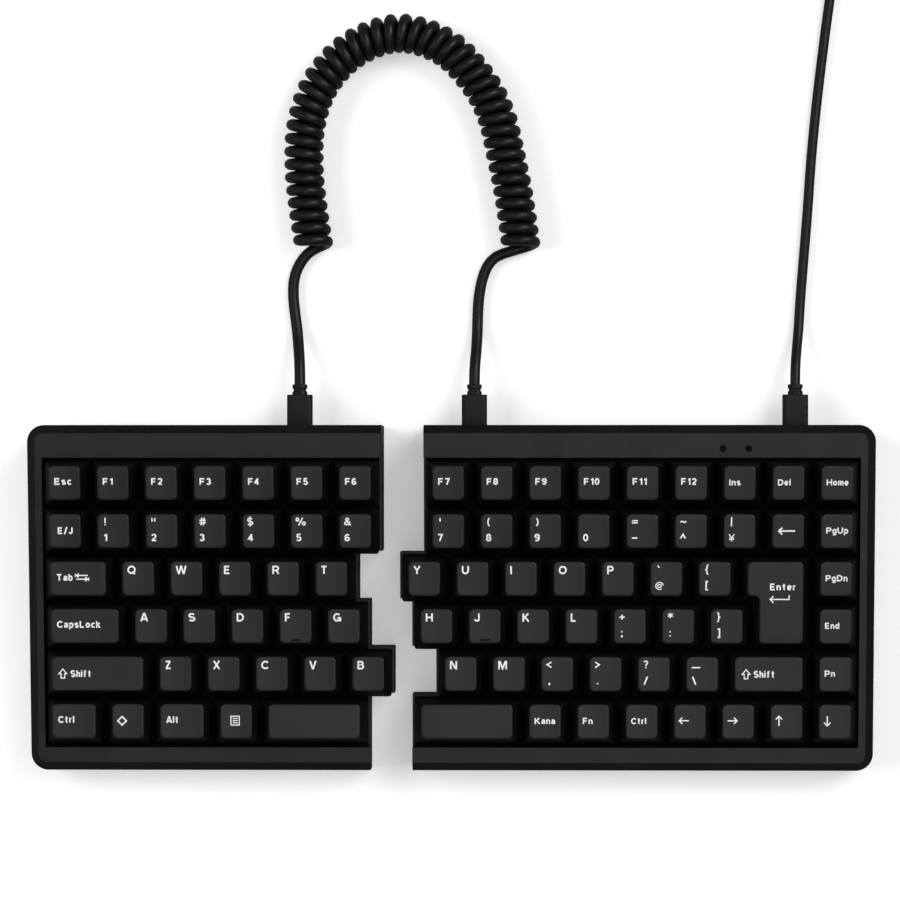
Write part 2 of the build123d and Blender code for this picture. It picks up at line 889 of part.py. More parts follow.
# Cords
def corner_radii(name, route):
    """Each corner's radius: 0.45 of its shorter run over the tangent of half its turn."""
    corner_share = 0.45
    radii = []
    points = [Vector(*p) for p in route]
    for a, b, c in zip(points, points[1:], points[2:]):
        turn = radians((b - a).get_angle(c - b))
        radii.append(corner_share * min((b - a).length, (c - b).length) / tan(turn / 2))
    print(name, "radii", [round(r, 1) for r in radii])
    return radii


def cord_section(at, along, sides):
    with BuildSketch(Plane(origin=at, z_dir=along)) as section:
        RegularPolygon(cord_diameter / 2, sides)
    return section.sketch


def cord_tube(name, route):
    """A tube of straight runs and arcs along a route."""
    radii = corner_radii(name, route)
    with BuildPart() as tube:
        with BuildLine() as path:
            FilletPolyline(*route, radius=radii)
        start = Vector(*route[0])
        section = cord_section(start, Vector(*route[1]) - start, cord_sides)
        sweep(sections=section, path=path.wires()[0])
    report_volume(name, tube.part, path.wires()[0].length, cord_sides)
    return tube.part


def report_volume(name, part, length, sides):
    area = sides / 2 * (cord_diameter / 2) ** 2 * sin(2 * pi / sides)
    share = round(part.volume / (area * length), 3)
    print(name, "length", round(length, 1), "volume over section x length", share)


def smooth_place(points, t):
    """A point on the smooth line through chosen plan points; t runs from 0 to 1."""
    spans = len(points) - 1
    span = min(int(t * spans), spans - 1)
    f = t * spans - span
    p1, p2 = points[span], points[span + 1]
    p0 = points[span - 1] if span else tuple(2 * a - b for a, b in zip(p1, p2))
    p3 = points[span + 2] if span + 2 <= spans else tuple(2 * b - a for a, b in zip(p1, p2))
    return tuple(
        (2 * b + (c - a) * f + (2 * a - 5 * b + 4 * c - d) * f * f + (3 * b - a - 3 * c + d) * f ** 3) / 2
        for a, b, c, d in zip(p0, p1, p2, p3)
    )


def axis_lengths():
    """Places along the curls' axis, and the length of the line up to each."""
    count = axis_steps * curl_count
    places = [smooth_place(curl_axis, i / count) for i in range(count + 1)]
    lengths = [0]
    for a, b in zip(places, places[1:]):
        lengths.append(lengths[-1] + hypot(b[0] - a[0], b[1] - a[1]))
    return places, lengths


axis_places, axis_runs = axis_lengths()


def curl_place(t):
    """A place in the curls, after t turns: they wind left-handed about an axis above the floor."""
    target = axis_runs[-1] * t / curl_count
    i = min(max(bisect(axis_runs, target) - 1, 0), len(axis_runs) - 2)
    run = axis_runs[i + 1] - axis_runs[i]
    (x0, y0), (x1, y1) = axis_places[i], axis_places[i + 1]
    dx, dy = (x1 - x0) / run, (y1 - y0) / run
    angle = 2 * pi * t - pi / 2
    across = curl_radius * cos(angle)
    x = x0 + dx * (target - axis_runs[i]) + dy * across
    y = y0 + dy * (target - axis_runs[i]) - dx * across
    return Vector(x, y, curl_radius + cord_diameter / 2 + curl_radius * sin(angle))


def direction(place, t):
    """The direction of a winding at t turns."""
    return (place(t + probe_share) - place(t - probe_share)).normalized()


def winding_end(place, t, diameters):
    """A place on the straight that runs on from a winding at t, so many cord diameters away."""
    return tuple(place(t) + direction(place, t) * (diameters * cord_diameter))


def run_in(place):
    """The last two places of a cord that leads into a winding's start."""
    return [winding_end(place, 0, -2), winding_end(place, 0, -1)]


def run_out(place, turns):
    """The last two places of a cord that is followed back to a winding's end."""
    return [winding_end(place, turns, 2), winding_end(place, turns, 1)]


def biarcs(points, directions):
    """Two tangent arcs between each point and the next."""
    arcs = []
    for p, q, t, u in zip(points, points[1:], directions, directions[1:]):
        v, w, together = q - p, t + u, t.dot(u)
        lean = v.dot(w)
        reach = (sqrt(lean * lean + 2 * (1 - together) * v.dot(v)) - lean) / (2 * (1 - together))
        joint = (p + t * reach + q - u * reach) / 2
        middle = ((q - u * reach) - (p + t * reach)).normalized()
        arcs.append(Edge.make_tangent_arc(p, t, joint))
        arcs.append(Edge.make_tangent_arc(joint, middle, q))
    return arcs


def wound_tube(name, place, turns):
    """One unbroken tube round a winding, with a straight run of a diameter at each end."""
    stops = [k / winding_steps for k in range(round(turns * winding_steps) + 1)]
    points = [place(t) for t in stops]
    directions = [direction(place, t) for t in stops]
    first = Vector(*winding_end(place, 0, -1))
    last = Vector(*winding_end(place, stops[-1], 1))
    edges = [Edge.make_line(first, points[0])] + biarcs(points, directions)
    path = Wire(edges + [Edge.make_line(points[-1], last)])
    with BuildPart() as tube:
        sweep(sections=cord_section(first, directions[0], curl_sides), path=path, clean=False)
    report_volume(name, tube.part, path.length, curl_sides)
    report_gap(name, place, turns)
    return tube.part


def report_gap(name, place, turns):
    """Print the least distance between places half a turn or more apart, less the cord."""
    steps = 24
    points = [place(k / steps) for k in range(int(turns * steps) + 1)]
    least = min(
        (points[j] - points[i]).length
        for i in range(len(points))
        for j in range(i + steps // 2 + 2, min(i + 7 * steps, len(points)))
    )
    print(name, "least gap to itself", round(least - cord_diameter, 2))


def bridge_coil():
    return wound_tube("bridge_cord_coil", curl_place, curl_count)


def host_coil_place(t):
    """A place in the stored coil; t counts turns from where the cord comes in."""
    layer = min(max(int(t // host_coil_turns), 0), host_coil_layers - 1)
    drift = (t - layer * host_coil_turns) * host_coil_pitch
    inner = host_coil_outer - host_coil_turns * host_coil_pitch
    radius = host_coil_outer - drift if layer % 2 == 0 else inner + drift
    nearest = round(t / host_coil_turns)
    climb = min(max((t - nearest * host_coil_turns) * 2 + 1 / 2, 0), 1)
    level = nearest - 1 + climb if 0 < nearest < host_coil_layers else min(nearest, host_coil_layers - 1)
    x = host_coil_x + radius * cos(2 * pi * t)
    y = host_coil_y + radius * sin(2 * pi * t)
    return Vector(x, y, host_coil_height + level * host_coil_pitch)


def host_coil():
    """The unseen length, put away in four layers."""
    return wound_tube("host_cord_coil", host_coil_place, host_coil_end)


def host_tail():
    """The end of the cord, from the top of the stored coil down to its plug."""
    start = run_out(host_coil_place, host_coil_end)[::-1]
    end_y = plug_end_y + usb_relief_length
    end = [(plug_end_x, y, usb_body_rise / 2) for y in (end_y + tail_straight, end_y)]
    return cord_tube("host_cord_tail", start + tail_route + end)


def host_tie():
    """The strap round the stored coil's turns, on the side away from the case."""
    inner = host_coil_outer - host_coil_turns * host_coil_pitch
    reach = cord_diameter / 2 + tie_gap
    low, high = inner - reach, host_coil_outer + reach
    rise = host_coil_height + (host_coil_layers - 1) * host_coil_pitch + reach
    plane = Plane(origin=(host_coil_x, host_coil_y, 0)).rotated((0, 0, tie_angle))
    with BuildPart() as tie:
        with BuildSketch(Plane(origin=plane.origin, x_dir=plane.x_dir, z_dir=plane.y_dir * -1)):
            with Locations(((low + high) / 2, (rise + tie_thickness) / 2)):
                RectangleRounded(
                    high - low + 2 * tie_thickness, rise + tie_thickness, cord_diameter / 2
                )
            with Locations(((low + high) / 2, (rise + tie_thickness) / 2)):
                Rectangle(high - low, rise - tie_thickness, mode=Mode.SUBTRACT)
        extrude(amount=tie_width / 2, both=True)
    return tie.part


def usb_plane(y):
    """An upright plane across the plug on the cord's end, looking to the rear."""
    return Plane(origin=(plug_end_x, y, usb_body_rise / 2), x_dir=(1, 0, 0), z_dir=(0, 1, 0))


def usb_plug():
    with BuildPart() as body:
        with BuildSketch(usb_plane(plug_end_y)):
            RectangleRounded(usb_body_width, usb_body_rise, plug_corner)
        extrude(amount=-usb_body_length)
        with BuildSketch(usb_plane(plug_end_y)):
            RectangleRounded(relief_width, relief_width, relief_width / 2 - relief_notch)
        with BuildSketch(usb_plane(plug_end_y + usb_relief_length)):
            RectangleRounded(
                cord_diameter + 2 * relief_notch, cord_diameter + 2 * relief_notch, cord_diameter / 2
            )
        loft()
        with BuildSketch(usb_plane(plug_end_y - usb_body_length)):
            Rectangle(usb_shell_width + 2 * socket_clearance, usb_shell_rise + 2 * socket_clearance)
        extrude(amount=usb_root + socket_clearance, mode=Mode.SUBTRACT)
    return body.part


def usb_plug_shell():
    """The flat metal sleeve, with the tongue that carries its contacts."""
    root = plug_end_y - usb_body_length + usb_root
    with BuildPart() as shell:
        with BuildSketch(usb_plane(root)):
            Rectangle(usb_shell_width, usb_shell_rise)
            Rectangle(
                usb_shell_width - 2 * usb_shell_wall, usb_shell_rise - 2 * usb_shell_wall, mode=Mode.SUBTRACT
            )
        extrude(amount=-usb_root - usb_shell_length)
        with BuildSketch(usb_plane(root)):
            with Locations((0, usb_tongue_rise / 2 - usb_shell_rise / 2 + usb_shell_wall)):
                Rectangle(usb_shell_width - 2 * usb_shell_wall, usb_tongue_rise)
        extrude(amount=-usb_root - usb_shell_length + overrun)
    return shell.part


def write(name, part):
    part.label = name
    export_step(part, f"parts/{name}.step")


os.makedirs("parts", exist_ok=True)

for side, half in ((LEFT, "left"), (RIGHT, "right")):
    write(f"{half}_bottom_case", bottom_case(side))
    write(f"{half}_top_case", top_case(side))
    write(f"{half}_switch_plate", switch_plate(side))
    write(f"{half}_circuit_board", circuit_board(side))
    write(f"{half}_switch_housings", switch_housings(side))
    write(f"{half}_stabilizers", stabilizers(side))
    write(f"{half}_rubber_feet", rubber_feet(side))
    write(f"{half}_case_screws", case_screws(side))
    for foot, x in zip(("outer", "inner"), tilt_places(side)):
        write(f"{half}_tilt_foot_{foot}", tilt_foot(x))

write("left_usb_socket", sockets(LEFT))
write("right_usb_sockets", sockets(RIGHT))
write("indicator_lenses", indicator_lenses())

# The keys that share a row and a use move as one bank. Places are (row, column).
left_banks = {
    "esc_key": [(0, 0)],
    "function_keys_left": [(0, column) for column in range(1, 7)],
    "number_keys_left": [(1, column) for column in range(7)],
    "tab_key": [(2, 0)],
    "upper_letter_keys_left": [(2, column) for column in range(1, 6)],
    "caps_lock_key": [(3, 0)],
    "home_letter_keys_left": [(3, column) for column in range(1, 6)],
    "shift_key_left": [(4, 0)],
    "lower_letter_keys_left": [(4, column) for column in range(1, 6)],
    "modifier_keys_left": [(5, column) for column in range(4)],
    "space_bar_left": [(5, 4)],
}
right_banks = {
    "function_keys_right": [(0, column) for column in range(6)],
    "number_keys_right": [(1, column) for column in range(7)],
    "backspace_key": [(1, 7)],
    "upper_letter_keys_right": [(2, column) for column in range(7)],
    "home_letter_keys_right": [(3, column) for column in range(7)],
    "lower_letter_keys_right": [(4, column) for column in range(6)],
    "shift_key_right": [(4, 6)],
    "space_bar_right": [(5, 0)],
    "modifier_keys_right": [(5, column) for column in range(1, 4)],
    "arrow_keys": [(5, column) for column in range(4, 8)],
    "navigation_keys": [(0, 6), (0, 7), (0, 8), (1, 8), (2, 8), (3, 8), (4, 7)],
}
for name, places in left_banks.items():
    write(name, key_bank(LEFT, places))
for name, places in right_banks.items():
    write(name, key_bank(RIGHT, places))

enter_x, enter_s = enter_place()
one_enter_cap = enter_cap()
with BuildPart() as enter_key:
    with Locations(deck(cap_rise).location * Pos(enter_x, enter_s, 0)):
        add(one_enter_cap)
write("enter_key", enter_key.part)

write("bridge_plug_left", plug_body(left_port_x))
write("bridge_plug_left_shell", plug_shell(left_port_x))
write("bridge_plug_right", plug_body(bridge_port_x))
write("host_plug", plug_body(host_port_x))
right_shells = [plug_shell(bridge_port_x), plug_shell(host_port_x)]
with BuildPart() as right_plug_shells:
    for shell in right_shells:
        add(shell)
write("right_plug_shells", right_plug_shells.part)
write("bridge_cord_coil", bridge_coil())
left_lead = left_lead_route + run_in(curl_place)
write("bridge_cord_left_lead", cord_tube("bridge_cord_left_lead", left_lead))
right_lead = right_lead_route + run_out(curl_place, curl_count)
write("bridge_cord_right_lead", cord_tube("bridge_cord_right_lead", right_lead))
write("host_cord", cord_tube("host_cord", host_route + run_in(host_coil_place)))
write("host_cord_coil", host_coil())
write("host_cord_tail", host_tail())
write("host_cord_tie", host_tie())
write("usb_a_plug", usb_plug())
write("usb_a_plug_shell", usb_plug_shell())
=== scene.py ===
import bisect
import math

import bmesh
import bpy
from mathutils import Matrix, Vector
from mathutils.bvhtree import BVHTree


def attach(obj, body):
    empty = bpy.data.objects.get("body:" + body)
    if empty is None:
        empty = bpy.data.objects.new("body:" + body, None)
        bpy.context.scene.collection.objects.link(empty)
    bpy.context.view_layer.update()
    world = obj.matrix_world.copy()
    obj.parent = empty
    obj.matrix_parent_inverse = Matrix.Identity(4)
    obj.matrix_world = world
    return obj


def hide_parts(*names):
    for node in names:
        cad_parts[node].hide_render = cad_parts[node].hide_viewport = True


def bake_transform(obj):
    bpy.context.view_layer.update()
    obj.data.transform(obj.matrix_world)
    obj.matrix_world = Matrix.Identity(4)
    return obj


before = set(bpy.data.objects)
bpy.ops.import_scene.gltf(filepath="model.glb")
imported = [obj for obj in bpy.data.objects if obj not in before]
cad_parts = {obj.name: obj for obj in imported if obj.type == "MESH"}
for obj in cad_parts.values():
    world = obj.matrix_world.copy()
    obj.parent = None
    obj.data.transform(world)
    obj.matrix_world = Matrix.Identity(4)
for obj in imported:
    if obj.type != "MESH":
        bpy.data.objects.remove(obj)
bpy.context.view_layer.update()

scene = bpy.context.scene
scene.view_settings.view_transform = "Standard"
mm = 0.001
tau = 2 * math.pi

# Sizes that the part's source gives, in millimetres
pitch = 19.05
half_gap = 17.5
case_depth = 137.4
slope = math.radians(7.0)
plate_height = 12.6
side_bar, front_bar, front_window_gap = 6.4, 9.35, 0.8
bezel_rise, bezel_skin, outer_corner = 7.5, 2.2, 6.75
left_units, right_units, row_count = 7, 9, 6
cap_rise = 6.3
cap_gap = 0.95
cap_wall = 1.3
side_slope, front_slope, rear_slope = 2.85, 3.5, 0.9
dish_depth = 0.5
rear_heights = [10.2, 10.0, 8.7, 7.6, 7.5, 7.5]
front_heights = [8.9, 8.9, 8.1, 7.5, 7.9, 8.0]
grid_front = (front_bar + bezel_rise * math.sin(slope)) / math.cos(slope) + front_window_gap
case_width = (left_units + right_units) * pitch + half_gap + 2 * side_bar

# Camera, as the photograph was taken
picture_width, focal_pixels, sensor_width = 900, 3972.1, 36.0
camera_data = bpy.data.cameras.new("camera")
camera = bpy.data.objects.new("camera", camera_data)
scene.collection.objects.link(camera)
camera.location = (0.03005, 0.04755, 1.6)
camera.rotation_euler = (0.007183, 0.019326, 0.000074)
camera_data.sensor_fit = "HORIZONTAL"
camera_data.sensor_width = sensor_width
camera_data.lens = sensor_width * focal_pixels / picture_width
camera_data.clip_end = 20.0
scene.camera = camera


# Helpers
def put(name, mesh, *materials):
    """A new object at the origin that shows this mesh."""
    piece = bpy.data.objects.new(name, mesh)
    scene.collection.objects.link(piece)
    for material in materials:
        mesh.materials.append(material)
    return piece


def smooth(mesh, degrees=35):
    for face in mesh.polygons:
        face.use_smooth = True
    mesh.set_sharp_from_angle(angle=math.radians(degrees))


def metres(points):
    return [tuple(c * mm for c in p) for p in points]


# Materials
class Finish:
    """A material under construction, with short calls for its nodes."""

    def __init__(self, name, color, roughness, **sockets):
        self.material = bpy.data.materials.new(name)
        self.material.use_nodes = True
        self.nodes = self.material.node_tree.nodes
        self.links = self.material.node_tree.links
        self.shader = self.nodes["Principled BSDF"]
        self.shader.inputs["Base Color"].default_value = (*color, 1)
        self.shader.inputs["Roughness"].default_value = roughness
        for key, value in sockets.items():
            self.shader.inputs[key.replace("_", " ")].default_value = value
        self.place = self.nodes.new("ShaderNodeTexCoord").outputs["Object"]
        self.height = None

    def add(self, kind, *sources, **inputs):
        node = self.nodes.new("ShaderNode" + kind)
        for key, value in inputs.items():
            key = key.replace("_", " ")
            if key in node.inputs:
                if hasattr(value, "links"):
                    self.links.new(value, node.inputs[key])
                else:
                    node.inputs[key].default_value = value
            else:
                setattr(node, key.replace(" ", "_"), value)
        for index, source in enumerate(sources):
            self.links.new(source, node.inputs[index])
        return node

    def noise(self, scale, detail=3.0, roughness=0.5, stretch=None):
        place = self.place
        if stretch:
            place = self.add("Mapping", place, Scale=stretch).outputs[0]
        return self.add("TexNoise", place, Scale=scale, Detail=detail, Roughness=roughness).outputs["Fac"]

    def ramp(self, value, *stops):
        node = self.add("ValToRGB", value)
        elements = node.color_ramp.elements
        while len(elements) < len(stops):
            elements.new(0.5)
        for element, (position, color) in zip(elements, stops):
            element.position = position
            element.color = (*color, 1) if isinstance(color, tuple) else (color, color, color, 1)
        return node.outputs[0]

    def mix(self, share, a, b):
        node = self.nodes.new("ShaderNodeMix")
        node.data_type = "RGBA"
        for socket, value in ((node.inputs[0], share), (node.inputs[6], a), (node.inputs[7], b)):
            if hasattr(value, "links"):
                self.links.new(value, socket)
            else:
                socket.default_value = (*value, 1) if isinstance(value, tuple) else value
        return node.outputs[2]

    def feed(self, value, socket):
        self.links.new(value, self.shader.inputs[socket])
        return self

    def bump(self, value, distance, strength=1.0):
        node = self.add("Bump", Strength=strength, Distance=distance, Height=value)
        if self.height:
            self.links.new(self.height, node.inputs["Normal"])
        self.height = node.outputs[0]
        self.links.new(self.height, self.shader.inputs["Normal"])
        return self


def grained_plastic(
    name, color, roughness, grain=2600.0, depth=0.00003, spread=0.2, shine=0.4, painted_shade_slant_shine=None,
):
    """Moulded plastic with a fine spark-eroded grain and faint uneven gloss; when asked, its reflection is
    turned down on slanting faces, a painted shade that darkens chamfers.
    """
    finish = Finish(name, color, roughness, Specular_IOR_Level=shine)
    cloud = finish.noise(35.0, 4.0)
    low = tuple(c * (1 - spread) for c in color)
    high = tuple(c * (1 + spread) for c in color)
    finish.feed(finish.ramp(cloud, (0.35, low), (0.65, high)), "Base Color")
    gloss = finish.ramp(finish.noise(90.0, 5.0), (0.3, roughness - 0.05), (0.7, roughness + 0.06))
    finish.feed(gloss, "Roughness")
    # Painted shade: faces that lean about 30 to 60 degrees from level get a weaker reflection, so chamfers
    # render darker than the lamps alone make them.
    if painted_shade_slant_shine is not None:
        normal = finish.add("TexCoord").outputs["Normal"]
        lean = finish.add("SeparateXYZ", normal).outputs["Z"]
        level = finish.ramp(lean, (0.35, shine), (0.5, painted_shade_slant_shine), (0.86, painted_shade_slant_shine), (0.95, shine))
        finish.feed(level, "Specular IOR Level")
    finish.bump(finish.noise(grain, 2.0), depth, 0.5)
    return finish.material


def cap_plastic():
    """Satin cap tops over sides painted darker and less reflective, a painted shade of the wells between the
    caps; the attribute on the cap tells them apart.
    """
    finish = Finish("key_cap_plastic", (0.01, 0.011, 0.012), 0.45, Specular_IOR_Level=0.4)
    top = finish.add("Attribute", attribute_name="top").outputs["Fac"]
    cloud = finish.noise(60.0, 4.0)
    face = finish.ramp(cloud, (0.35, (0.0085, 0.0105, 0.0115)), (0.65, (0.0115, 0.0135, 0.0145)))
    # Painted shade: the sides take a darker colour and a weaker reflection than the tops, standing for the
    # shade between the caps.
    finish.feed(finish.mix(top, (0.0035, 0.0035, 0.0038), face), "Base Color")
    finish.feed(finish.mix(top, (0.2, 0.2, 0.2), (0.42, 0.42, 0.42)), "Specular IOR Level")
    worn = finish.ramp(finish.noise(120.0, 5.0), (0.3, 0.4), (0.7, 0.5))
    finish.feed(finish.mix(top, (0.5, 0.5, 0.5), worn), "Roughness")
    finish.bump(finish.noise(3200.0, 2.0), 0.00002, 0.5)
    return finish.material


def legend_ink():
    finish = Finish("legend_ink", (0.9, 0.9, 0.89), 0.5, Specular_IOR_Level=0.3)
    print_grain = finish.ramp(finish.noise(1800.0, 3.0), (0.3, (0.84, 0.84, 0.83)), (0.6, (0.95, 0.95, 0.94)))
    finish.feed(print_grain, "Base Color")
    return finish.material


def plated_metal(name, color, roughness):
    finish = Finish(name, color, roughness, Metallic=1.0)
    scratches = finish.noise(400.0, 4.0, stretch=(1, 12, 12))
    finish.feed(finish.ramp(scratches, (0.3, roughness - 0.06), (0.7, roughness + 0.1)), "Roughness")
    finish.bump(scratches, 0.000008, 0.4)
    return finish.material


def cord_jacket():
    """Satin jacket, with the faint long waves of an extruded skin."""
    finish = Finish("cord_jacket", (0.006, 0.006, 0.0062), 0.38, Specular_IOR_Level=0.3)
    finish.feed(finish.ramp(finish.noise(180.0, 4.0), (0.3, 0.32), (0.7, 0.46)), "Roughness")
    finish.bump(finish.noise(900.0, 3.0), 0.00003, 0.4)
    return finish.material


def board_mask():
    finish = Finish("solder_mask", (0.01, 0.05, 0.02), 0.3)
    cells = finish.add("TexVoronoi", finish.place, Scale=260.0, feature="DISTANCE_TO_EDGE")
    tracks = cells.outputs["Distance"]
    finish.feed(finish.ramp(tracks, (0.05, (0.02, 0.09, 0.035)), (0.09, (0.008, 0.045, 0.018))), "Base Color")
    finish.bump(tracks, 0.00004, 0.3)
    return finish.material


# The case carries painted shade: a weaker reflection on its slanting chamfers.
case_black = grained_plastic("case_plastic", (0.0065, 0.0066, 0.0064), 0.44, painted_shade_slant_shine=0.1)
foot_black = grained_plastic("tilt_foot_plastic", (0.008, 0.008, 0.008), 0.5)
plug_black = grained_plastic("plug_moulding", (0.004, 0.004, 0.004), 0.4, 1500.0, 0.00002, shine=0.3)
switch_black = grained_plastic("switch_plastic", (0.002, 0.002, 0.002), 0.5, shine=0.15)
plate_coat = grained_plastic("plate_powder_coat", (0.0015, 0.0015, 0.0015), 0.6, 1200.0, 0.00006, shine=0.1)
foot_rubber = grained_plastic("foot_rubber", (0.015, 0.015, 0.015), 0.8, 1500.0, 0.00008)
strap_black = grained_plastic("tie_strap", (0.008, 0.008, 0.008), 0.5, 800.0, 0.00005)
lens_smoke = grained_plastic("lens_smoke", (0.0012, 0.0012, 0.0012), 0.3, 500.0, 0.00001, shine=0.05)
cap_finish = cap_plastic()
ink = legend_ink()
nickel = plated_metal("nickel_plate", (0.62, 0.6, 0.56), 0.26)
zinc = plated_metal("zinc_plate", (0.35, 0.35, 0.35), 0.35)
jacket = cord_jacket()
green_board = board_mask()


# Cords, in millimetres, with their routes and thicknesses as the photograph shows them
cord_radius, host_radius = 2.2, 2.0
curl_axis = [
    (-55.3, 140.4), (-57.7, 156.3), (-59.3, 173.0), (-58.3, 190.5), (-52.2, 206.8), (-39.6, 219.9),
    (-21.5, 226.2), (-3.5, 221.0), (9.4, 208.5), (17.5, 194.0), (21.9, 176.0), (25.0, 160.0), (27.8, 140.2),
]
left_lead_route = [
    (-60.8, 85.2, 10.5), (-60.8, 91.5, 10.5), (-61.4, 98.5, 6.6), (-62.2, 106.5, 2.9), (-63.2, 113.5, 2.2),
    (-64.0, 120.5, 2.2), (-63.9, 127.0, 2.2), (-62.4, 132.2, 2.2), (-59.8, 136.4, 2.2), (-57.0, 139.2, 2.2),
]
right_lead_route = [
    (9.1, 85.2, 10.5), (9.1, 91.5, 10.5), (9.8, 98.5, 6.6), (10.2, 106.5, 2.9), (10.3, 113.5, 2.2),
    (10.7, 120.5, 2.2), (12.0, 127.6, 2.2), (14.0, 133.0, 2.2), (17.4, 137.0, 2.2),
]
host_route = [
    (137.3, 85.2, 10.5), (137.3, 91.5, 10.5), (138.2, 99.5, 6.0), (139.2, 108.0, 2.7), (139.8, 118.0, 2.0),
    (141.1, 134.0, 2.0), (142.8, 154.0, 2.0), (144.4, 178.0, 2.0), (147.0, 203.0, 2.0), (150.0, 227.0, 2.05),
    (152.5, 245.0, 2.2), (153.7, 258.0, 2.5),
]
tail_route = [(109.0, 305.2, 15.2), (99.5, 306.2, 13.6), (90.6, 305.2, 10.8), (83.6, 300.4, 7.0)]
curl_count, curl_radius, curl_end = 43, 5.95, 4.5
coil_x, coil_y, coil_height, coil_outer, coil_pitch = 126.6, 279.8, 2.55, 27.6, 4.3
coil_layer_turns, coil_layers, coil_turns = 3, 4, 11.25
plug_end = (80.0, 280.0)
plug_entry, plug_wire_height = (13.0, 7.0), 4.0
axis_steps = 4300
curl_points, coil_points = 14, 16  # in one turn


def smooth_place(points, t):
    """A point on the smooth line through chosen points; t runs from 0 to 1."""
    spans = len(points) - 1
    span = min(int(t * spans), spans - 1)
    f = t * spans - span
    p1, p2 = points[span], points[span + 1]
    p0 = points[span - 1] if span else tuple(2 * a - b for a, b in zip(p1, p2))
    p3 = points[span + 2] if span + 2 <= spans else tuple(2 * b - a for a, b in zip(p1, p2))
    return tuple(
        (2 * b + (c - a) * f + (2 * a - 5 * b + 4 * c - d) * f * f + (3 * b - a - 3 * c + d) * f ** 3) / 2
        for a, b, c, d in zip(p0, p1, p2, p3)
    )


axis_places = [smooth_place(curl_axis, i / axis_steps) for i in range(axis_steps + 1)]
axis_runs = [0.0]
for near, far in zip(axis_places, axis_places[1:]):
    axis_runs.append(axis_runs[-1] + math.dist(near, far))


def curl_place(t):
    """A place in the curls, after t turns."""
    target = axis_runs[-1] * t / curl_count
    i = min(max(bisect.bisect_right(axis_runs, target) - 1, 0), axis_steps - 1)
    run = axis_runs[i + 1] - axis_runs[i]
    dx = (axis_places[i + 1][0] - axis_places[i][0]) / run
    dy = (axis_places[i + 1][1] - axis_places[i][1]) / run
    angle = tau * t - math.pi / 2
    across = curl_radius * math.cos(angle)
    return Vector((
        axis_places[i][0] + dx * (target - axis_runs[i]) + dy * across,
        axis_places[i][1] + dy * (target - axis_runs[i]) - dx * across,
        curl_radius + cord_radius + curl_radius * math.sin(angle),
    ))


def coil_place(t):
    """A place in the stored coil, after t turns."""
    layer = min(max(int(t // coil_layer_turns), 0), coil_layers - 1)
    drift = (t - layer * coil_layer_turns) * coil_pitch
    inner = coil_outer - coil_layer_turns * coil_pitch
    radius = coil_outer - drift if layer % 2 == 0 else inner + drift
    nearest = round(t / coil_layer_turns)
    climb = min(max((t - nearest * coil_layer_turns) * 2 + 0.5, 0), 1)
    level = nearest - 1 + climb if 0 < nearest < coil_layers else min(nearest, coil_layers - 1)
    return Vector((
        coil_x + radius * math.cos(tau * t), coil_y + radius * math.sin(tau * t),
        coil_height + level * coil_pitch,
    ))


def beyond(place, t, distance, step=0.001):
    """A point straight on from a place on a winding, or straight back with a negative distance."""
    way = (place(t + step) - place(t - step)).normalized()
    return tuple(place(t) + way * distance)


def turns(place, count, per_turn):
    """Points all along a winding."""
    return [tuple(place(k / per_turn)) for k in range(int(count * per_turn) + 1)]


def cord_curve(name, points, resolution, radius=cord_radius):
    data = bpy.data.curves.new(name, "CURVE")
    data.dimensions = "3D"
    spline = data.splines.new("NURBS")
    spline.points.add(len(points) - 1)
    for point, place in zip(spline.points, metres(points)):
        point.co = (*place, 1)
    spline.order_u = 3
    spline.use_endpoint_u = True
    data.resolution_u = resolution
    data.bevel_depth = radius * mm
    data.bevel_resolution = 3
    data.use_fill_caps = True
    curve = bpy.data.objects.new(name, data)
    scene.collection.objects.link(curve)
    return curve


def as_mesh(piece):
    """The evaluated shape of a curve, text or modified mesh, as a mesh of its own."""
    bpy.context.view_layer.update()
    graph = bpy.context.evaluated_depsgraph_get()
    return bpy.data.meshes.new_from_object(piece.evaluated_get(graph), depsgraph=graph)


def drop(piece):
    bpy.data.objects.remove(piece, do_unlink=True)


bridge_points = (
    left_lead_route + turns(curl_place, curl_count, curl_points)[1:]
    + [beyond(curl_place, curl_count, curl_end)] + right_lead_route[::-1]
)
bridge_line = cord_curve("bridge_line", bridge_points, 2, 0)
bridge_path = [tuple(v.co) for v in as_mesh(bridge_line).vertices]
drop(bridge_line)
bridge_tube = cord_curve("bridge_tube", bridge_points, 2)
bridge_mesh = as_mesh(bridge_tube)
drop(bridge_tube)
bridge_cord = put("bridge_cord", bridge_mesh)
bridge_mesh.materials.clear()
bridge_mesh.materials.append(jacket)
smooth(bridge_mesh, 60)
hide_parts("bridge_cord_left_lead", "bridge_cord_coil", "bridge_cord_right_lead")
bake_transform(bridge_cord)

host_points = (
    host_route + [beyond(coil_place, 0, -coil_end) for coil_end in (7.4, 3.7)]
    + turns(coil_place, coil_turns, coil_points)
    + [beyond(coil_place, coil_turns, coil_end) for coil_end in (3.7, 7.4)] + tail_route
    + [(plug_end[0], plug_end[1] + back, plug_wire_height) for back in plug_entry]
)
host_cord = cord_curve("host_cord_run", host_points, 4, host_radius)
host_cord.data.materials.append(jacket)
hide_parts("host_cord", "host_cord_coil", "host_cord_tail")
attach(host_cord, "right_half")


# Softened copies of the frame's own pieces
def even_normals(mesh):
    """Normals that lean to the larger faces, so that flats shade flat beside their rounded edges."""
    normals = [Vector() for _ in mesh.vertices]
    for face in mesh.polygons:
        face.use_smooth = True
        for index in face.vertices:
            normals[index] += face.normal * face.area
    mesh.normals_split_custom_set_from_vertices([n.normalized() for n in normals])


